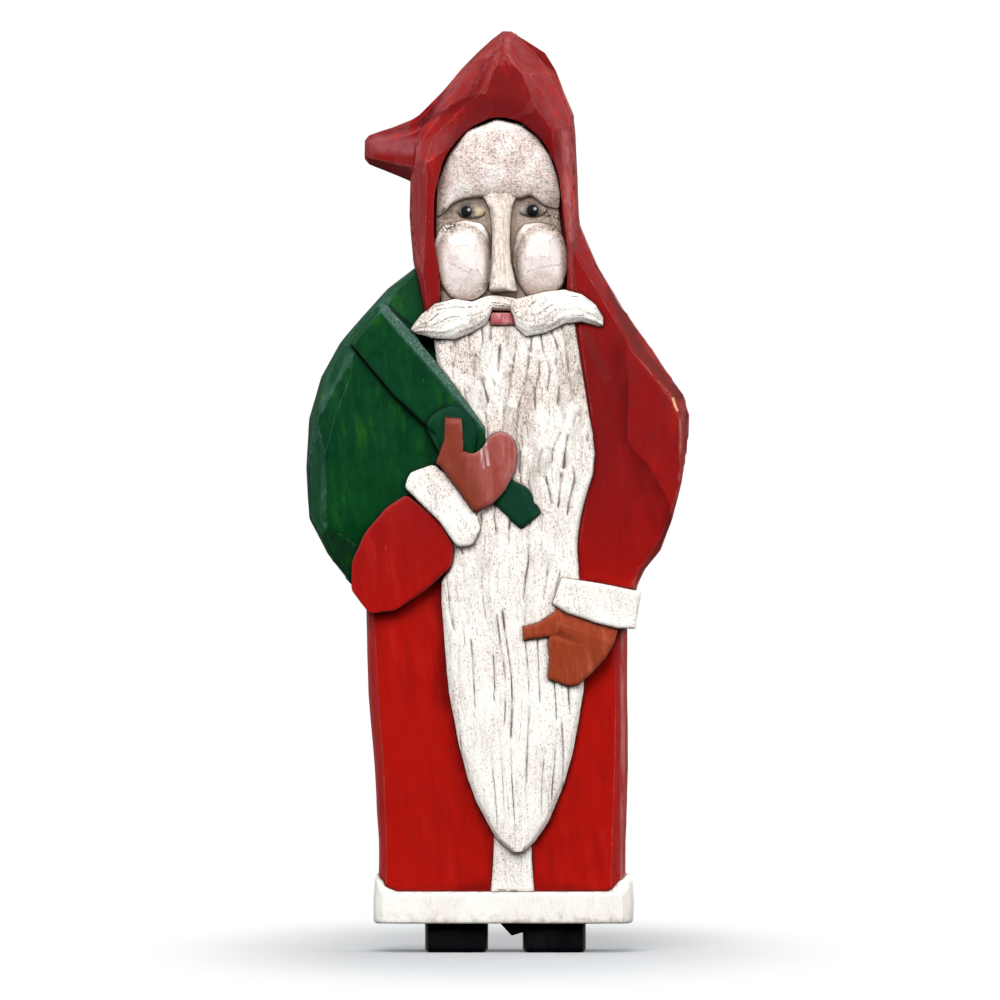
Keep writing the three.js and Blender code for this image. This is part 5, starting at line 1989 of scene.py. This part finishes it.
def teal_knot(f: Finish) -> Mark:
    """Gives the duller, bluer green of the knot in the hand and of the tail under it."""
    knot = f.spot(-13, 171, 6.5, 3, 1.1) | f.spot(8.5, 146, 7, 3, 1.2)
    return knot * f.patchy(2.5, 0.3, 0.6, 0.4, 0.45), (0.006, 0.036, 0.023)


def orange_side(f: Finish) -> Mark:
    """Gives the browner, more orange paint on the thumb and the left side of the raised mitten."""
    across, _, up = f.axes
    side = 1 - (across + (up - 160) * 0.3 + f.noise(6) * 6).step(-9, -1)
    return side * 0.8, (0.19, 0.032, 0.014)


def pale_scratches(f: Finish) -> Mark:
    """Gives the pale rubbed strokes across the top of the raised mitten."""
    strokes = f.line((-5.6, 166), (-4.6, 157.5), 0.35) | f.line((-4, 167), (-3, 158.5), 0.4)
    strokes = strokes | f.line((-8.5, 164), (-4, 167.5), 0.5) | f.line((-4, 167.5), (-2.2, 170.5), 0.45)
    return strokes * f.noise(0.8, (1, 1, 6)).step(0.3, 0.55) * 0.75, (0.6, 0.5, 0.52)


def paints() -> list[bpy.types.Material]:
    """Builds the paints in the order of the mesh's slots."""
    dark = (0.012, 0.006, 0.004)
    finishes = {
        Paint.RED: PaintCoat(
            "red_paint", (0.38, 0.006, 0.003), (0.26, 0.005, 0.004), (0.42, 0.014, 0.01), (0.2, 0.01, 0.011),
            (0.23, 0.05, 0.052), (0.03, 0.002, 0.002), (0.45, 0.11, 0.1),
            marks=(shaded_crown, glaze_and_shade, sheen_on_tip, shaded_sleeve_cut, sleeve_leaf, lit_right_cuts, tan_chip)),
        Paint.GREEN: PaintCoat(
            "green_paint", (0.002, 0.055, 0.006), (0.001, 0.026, 0.008), (0.016, 0.11, 0.004),
            (0.003, 0.046, 0.015), (0.02, 0.075, 0.045), (0.001, 0.006, 0.003), (0.07, 0.15, 0.12), patch=9,
            marks=(teal_knot, shaded_slot, pale_strip, pale_flecks)),
        Paint.WHITE: WhiteCoat(
            "white_paint", (0.93, 0.91, 0.86), (0.8, 0.7, 0.64), (0.3, 0.22, 0.18), (0.1, 0.07, 0.055)),
        Paint.SKIN: FacePaint(),
        Paint.MITTEN: PaintCoat(
            "mitten_paint", (0.31, 0.075, 0.06), (0.25, 0.035, 0.02), (0.42, 0.17, 0.15),
            (0.33, 0.085, 0.075), (0.36, 0.19, 0.18), dark, (0.5, 0.36, 0.32), wear=0.3, patch=9, streak=0.6,
            marks=(orange_side, pale_scratches)),
        Paint.LOWER_MITTEN: PaintCoat(
            "lower_mitten_paint", (0.29, 0.045, 0.016), (0.19, 0.03, 0.014), (0.4, 0.1, 0.05),
            (0.29, 0.045, 0.016), (0.34, 0.11, 0.07), dark, (0.5, 0.3, 0.22), wear=0.2, patch=9, streak=0.6),
        Paint.BLACK: PaintCoat(
            "black_paint", (0.002, 0.002, 0.003), (0.001, 0.001, 0.002), (0.005, 0.005, 0.007),
            (0.002, 0.002, 0.003), (0.003, 0.003, 0.004), (0.001, 0.001, 0.002), (0.03, 0.033, 0.038),
            roughness=0.4, wear=0.25, shine=0.02),
        Paint.LIP: PaintCoat(
            "lip_paint", (0.42, 0.06, 0.07), (0.3, 0.03, 0.03), (0.6, 0.35, 0.34), (0.42, 0.09, 0.1),
            (0.5, 0.2, 0.2), (0.06, 0.01, 0.01), (0.7, 0.5, 0.45), patch=2, streak=0.8),
        Paint.BARE: PaintCoat(
            "bare_wood", (0.05, 0.03, 0.018), (0.03, 0.02, 0.012), (0.09, 0.06, 0.035), (0.05, 0.03, 0.018),
            (0.06, 0.04, 0.025), (0.01, 0.007, 0.004), (0.12, 0.09, 0.06), roughness=0.65),
    }
    return [finishes[paint].material() for paint in Paint]


@dataclass
class Studio:
    """The plain pale floor, the soft lights and the camera at the photograph's angle.

    Attributes:
        distance, eye_height, aside: The camera's place in metres: in front, above the floor and to the right.
        seen_width: The width that the picture shows.
        sharp_plane: How far in front of the figure's middle plane that width is measured.
    """

    distance: float = 5.0
    eye_height: float = 0.1471
    seen_width: float = 0.3254
    aside: float = 0.0008
    sharp_plane: float = 0.012

    def build(self) -> None:
        """Sets up the floor, the lights, the sky and the camera."""
        self.floor()
        self.light("key", (-0.2, -1.4, 1.15), 0.9, 32.0)
        self.light("right_fill", (1.2, -0.9, 0.7), 0.8, 12.0)
        self.light("left_fill", (-1.3, -0.8, 0.4), 0.8, 5.0)
        self.light("back_fill", (0.5, 1.5, 0.9), 1.0, 10.0)
        self.sky()
        self.camera()

    def floor(self) -> None:
        """Lays the floor, which takes the contact shadow near the figure, and whose glow is a painted oval of
        shade round the figure that rises to white around it.
        """
        data = bpy.data.meshes.new("floor")
        half = 3.0
        corners = [(-half, -half, 0), (half, -half, 0), (half, half, 0), (-half, half, 0)]
        data.from_pydata(corners, [], [(0, 1, 2, 3)])
        floor = added("floor", data)
        f = Finish("floor_paper", (0.42, 0.43, 0.44))
        narrower, deeper = 2.5, 0.65
        sizes = {0: f.place, 1: (narrower, deeper, 1.0)}
        oval = f.node("ShaderNodeVectorMath", {"operation": "MULTIPLY"}, sizes).outputs[0]
        away = Value(f, f.node("ShaderNodeVectorMath", {"operation": "LENGTH"}, {0: oval}).outputs["Value"])
        # Painted shade: the floor's glow is lowest in an oval round the figure and rises to white further
        # out.
        fade = away.step(0.1, 0.3)
        f.lay(fade, (0.0, 0.0, 0.0))
        glow = f.mix(fade, (0.12, 0.13, 0.135), (1.0, 1.0, 1.0))
        data.materials.append(f.finish(0.9, f.noise(60), 0.02, 0.0))
        f.feed(f.shader, {"Emission Color": glow, "Emission Strength": 1.0})
        floor.visible_diffuse = False
        floor.visible_glossy = False

    @staticmethod
    def light(name: str, place: Triple, size: float, power: float) -> None:
        """Hangs one soft square light that faces the figure's middle.

        Args:
            name: The light's name.
            place: Where it hangs, in metres.
            size: Its width in metres.
            power: Its power in watts.
        """
        data = bpy.data.lights.new(name, "AREA")
        data.size = size
        data.energy = power
        lamp = added(name, data)
        lamp.location = place
        lamp.visible_camera = False
        aim = np.array([0, 0, 0.15]) - np.array(place)
        tilt, turn = math.atan2(math.hypot(aim[0], aim[1]), -aim[2]), math.atan2(-aim[0], aim[1])
        lamp.rotation_euler = (tilt, 0, turn)

    @staticmethod
    def sky() -> None:
        """Fills the surroundings with white, dark towards the front and below, as in a small light tent."""
        world = bpy.data.worlds.new("light_tent")
        world.use_nodes = True
        tent = Nodes(world.node_tree)
        way = tent.node("ShaderNodeTexCoord").outputs["Generated"]
        split = tent.node("ShaderNodeSeparateXYZ", None, {0: way})
        back, up = Value(tent, split.outputs["Y"]), Value(tent, split.outputs["Z"])
        glow = 0.04 + back.step(-0.6, 0.15) * up.step(-0.6, 0.2) * 0.8
        seen = Value(tent, tent.node("ShaderNodeLightPath").outputs["Is Camera Ray"])
        strength = tent.node("ShaderNodeMix", {"data_type": "FLOAT"}, {0: seen, 2: glow, 3: 1.0}).outputs[0]
        shade = tent.node("ShaderNodeBackground", None, {"Color": (1.0, 1.0, 1.0), "Strength": strength})
        tent.node("ShaderNodeOutputWorld", None, {"Surface": shade.outputs[0]})
        bpy.context.scene.world = world

    def camera(self) -> None:
        """Sets the camera level in front of the figure, framed as the photograph is."""
        data = bpy.data.cameras.new("camera")
        camera = added("camera", data)
        camera.location = (self.aside, -self.distance, self.eye_height)
        camera.rotation_euler = (math.pi / 2, 0, 0)
        data.sensor_fit = "HORIZONTAL"
        data.sensor_width = 36
        data.lens = data.sensor_width * (self.distance - self.sharp_plane) / self.seen_width
        bpy.context.scene.camera = camera
        bpy.context.scene.view_settings.view_transform = "Standard"


def main() -> None:
    """Builds the carving, its paints and the studio, and reports each piece."""
    logging.basicConfig(level=logging.INFO, format="%(name)s: %(message)s", stream=sys.stdout)
    coat, arms = Coat(), Arms()
    carving = Carving([
        coat.body(), arms.sleeve(), *Hood().forms(), *Face().forms(), *Sack().forms(), *Whiskers().forms(),
        *arms.carrying(), *arms.hanging(), *coat.trim(),
    ]).build()
    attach(carving, "root")
    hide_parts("carving")
    Studio().build()
    log.info("studio: floor, four lights and the camera")


if __name__ == "__main__":
    main()
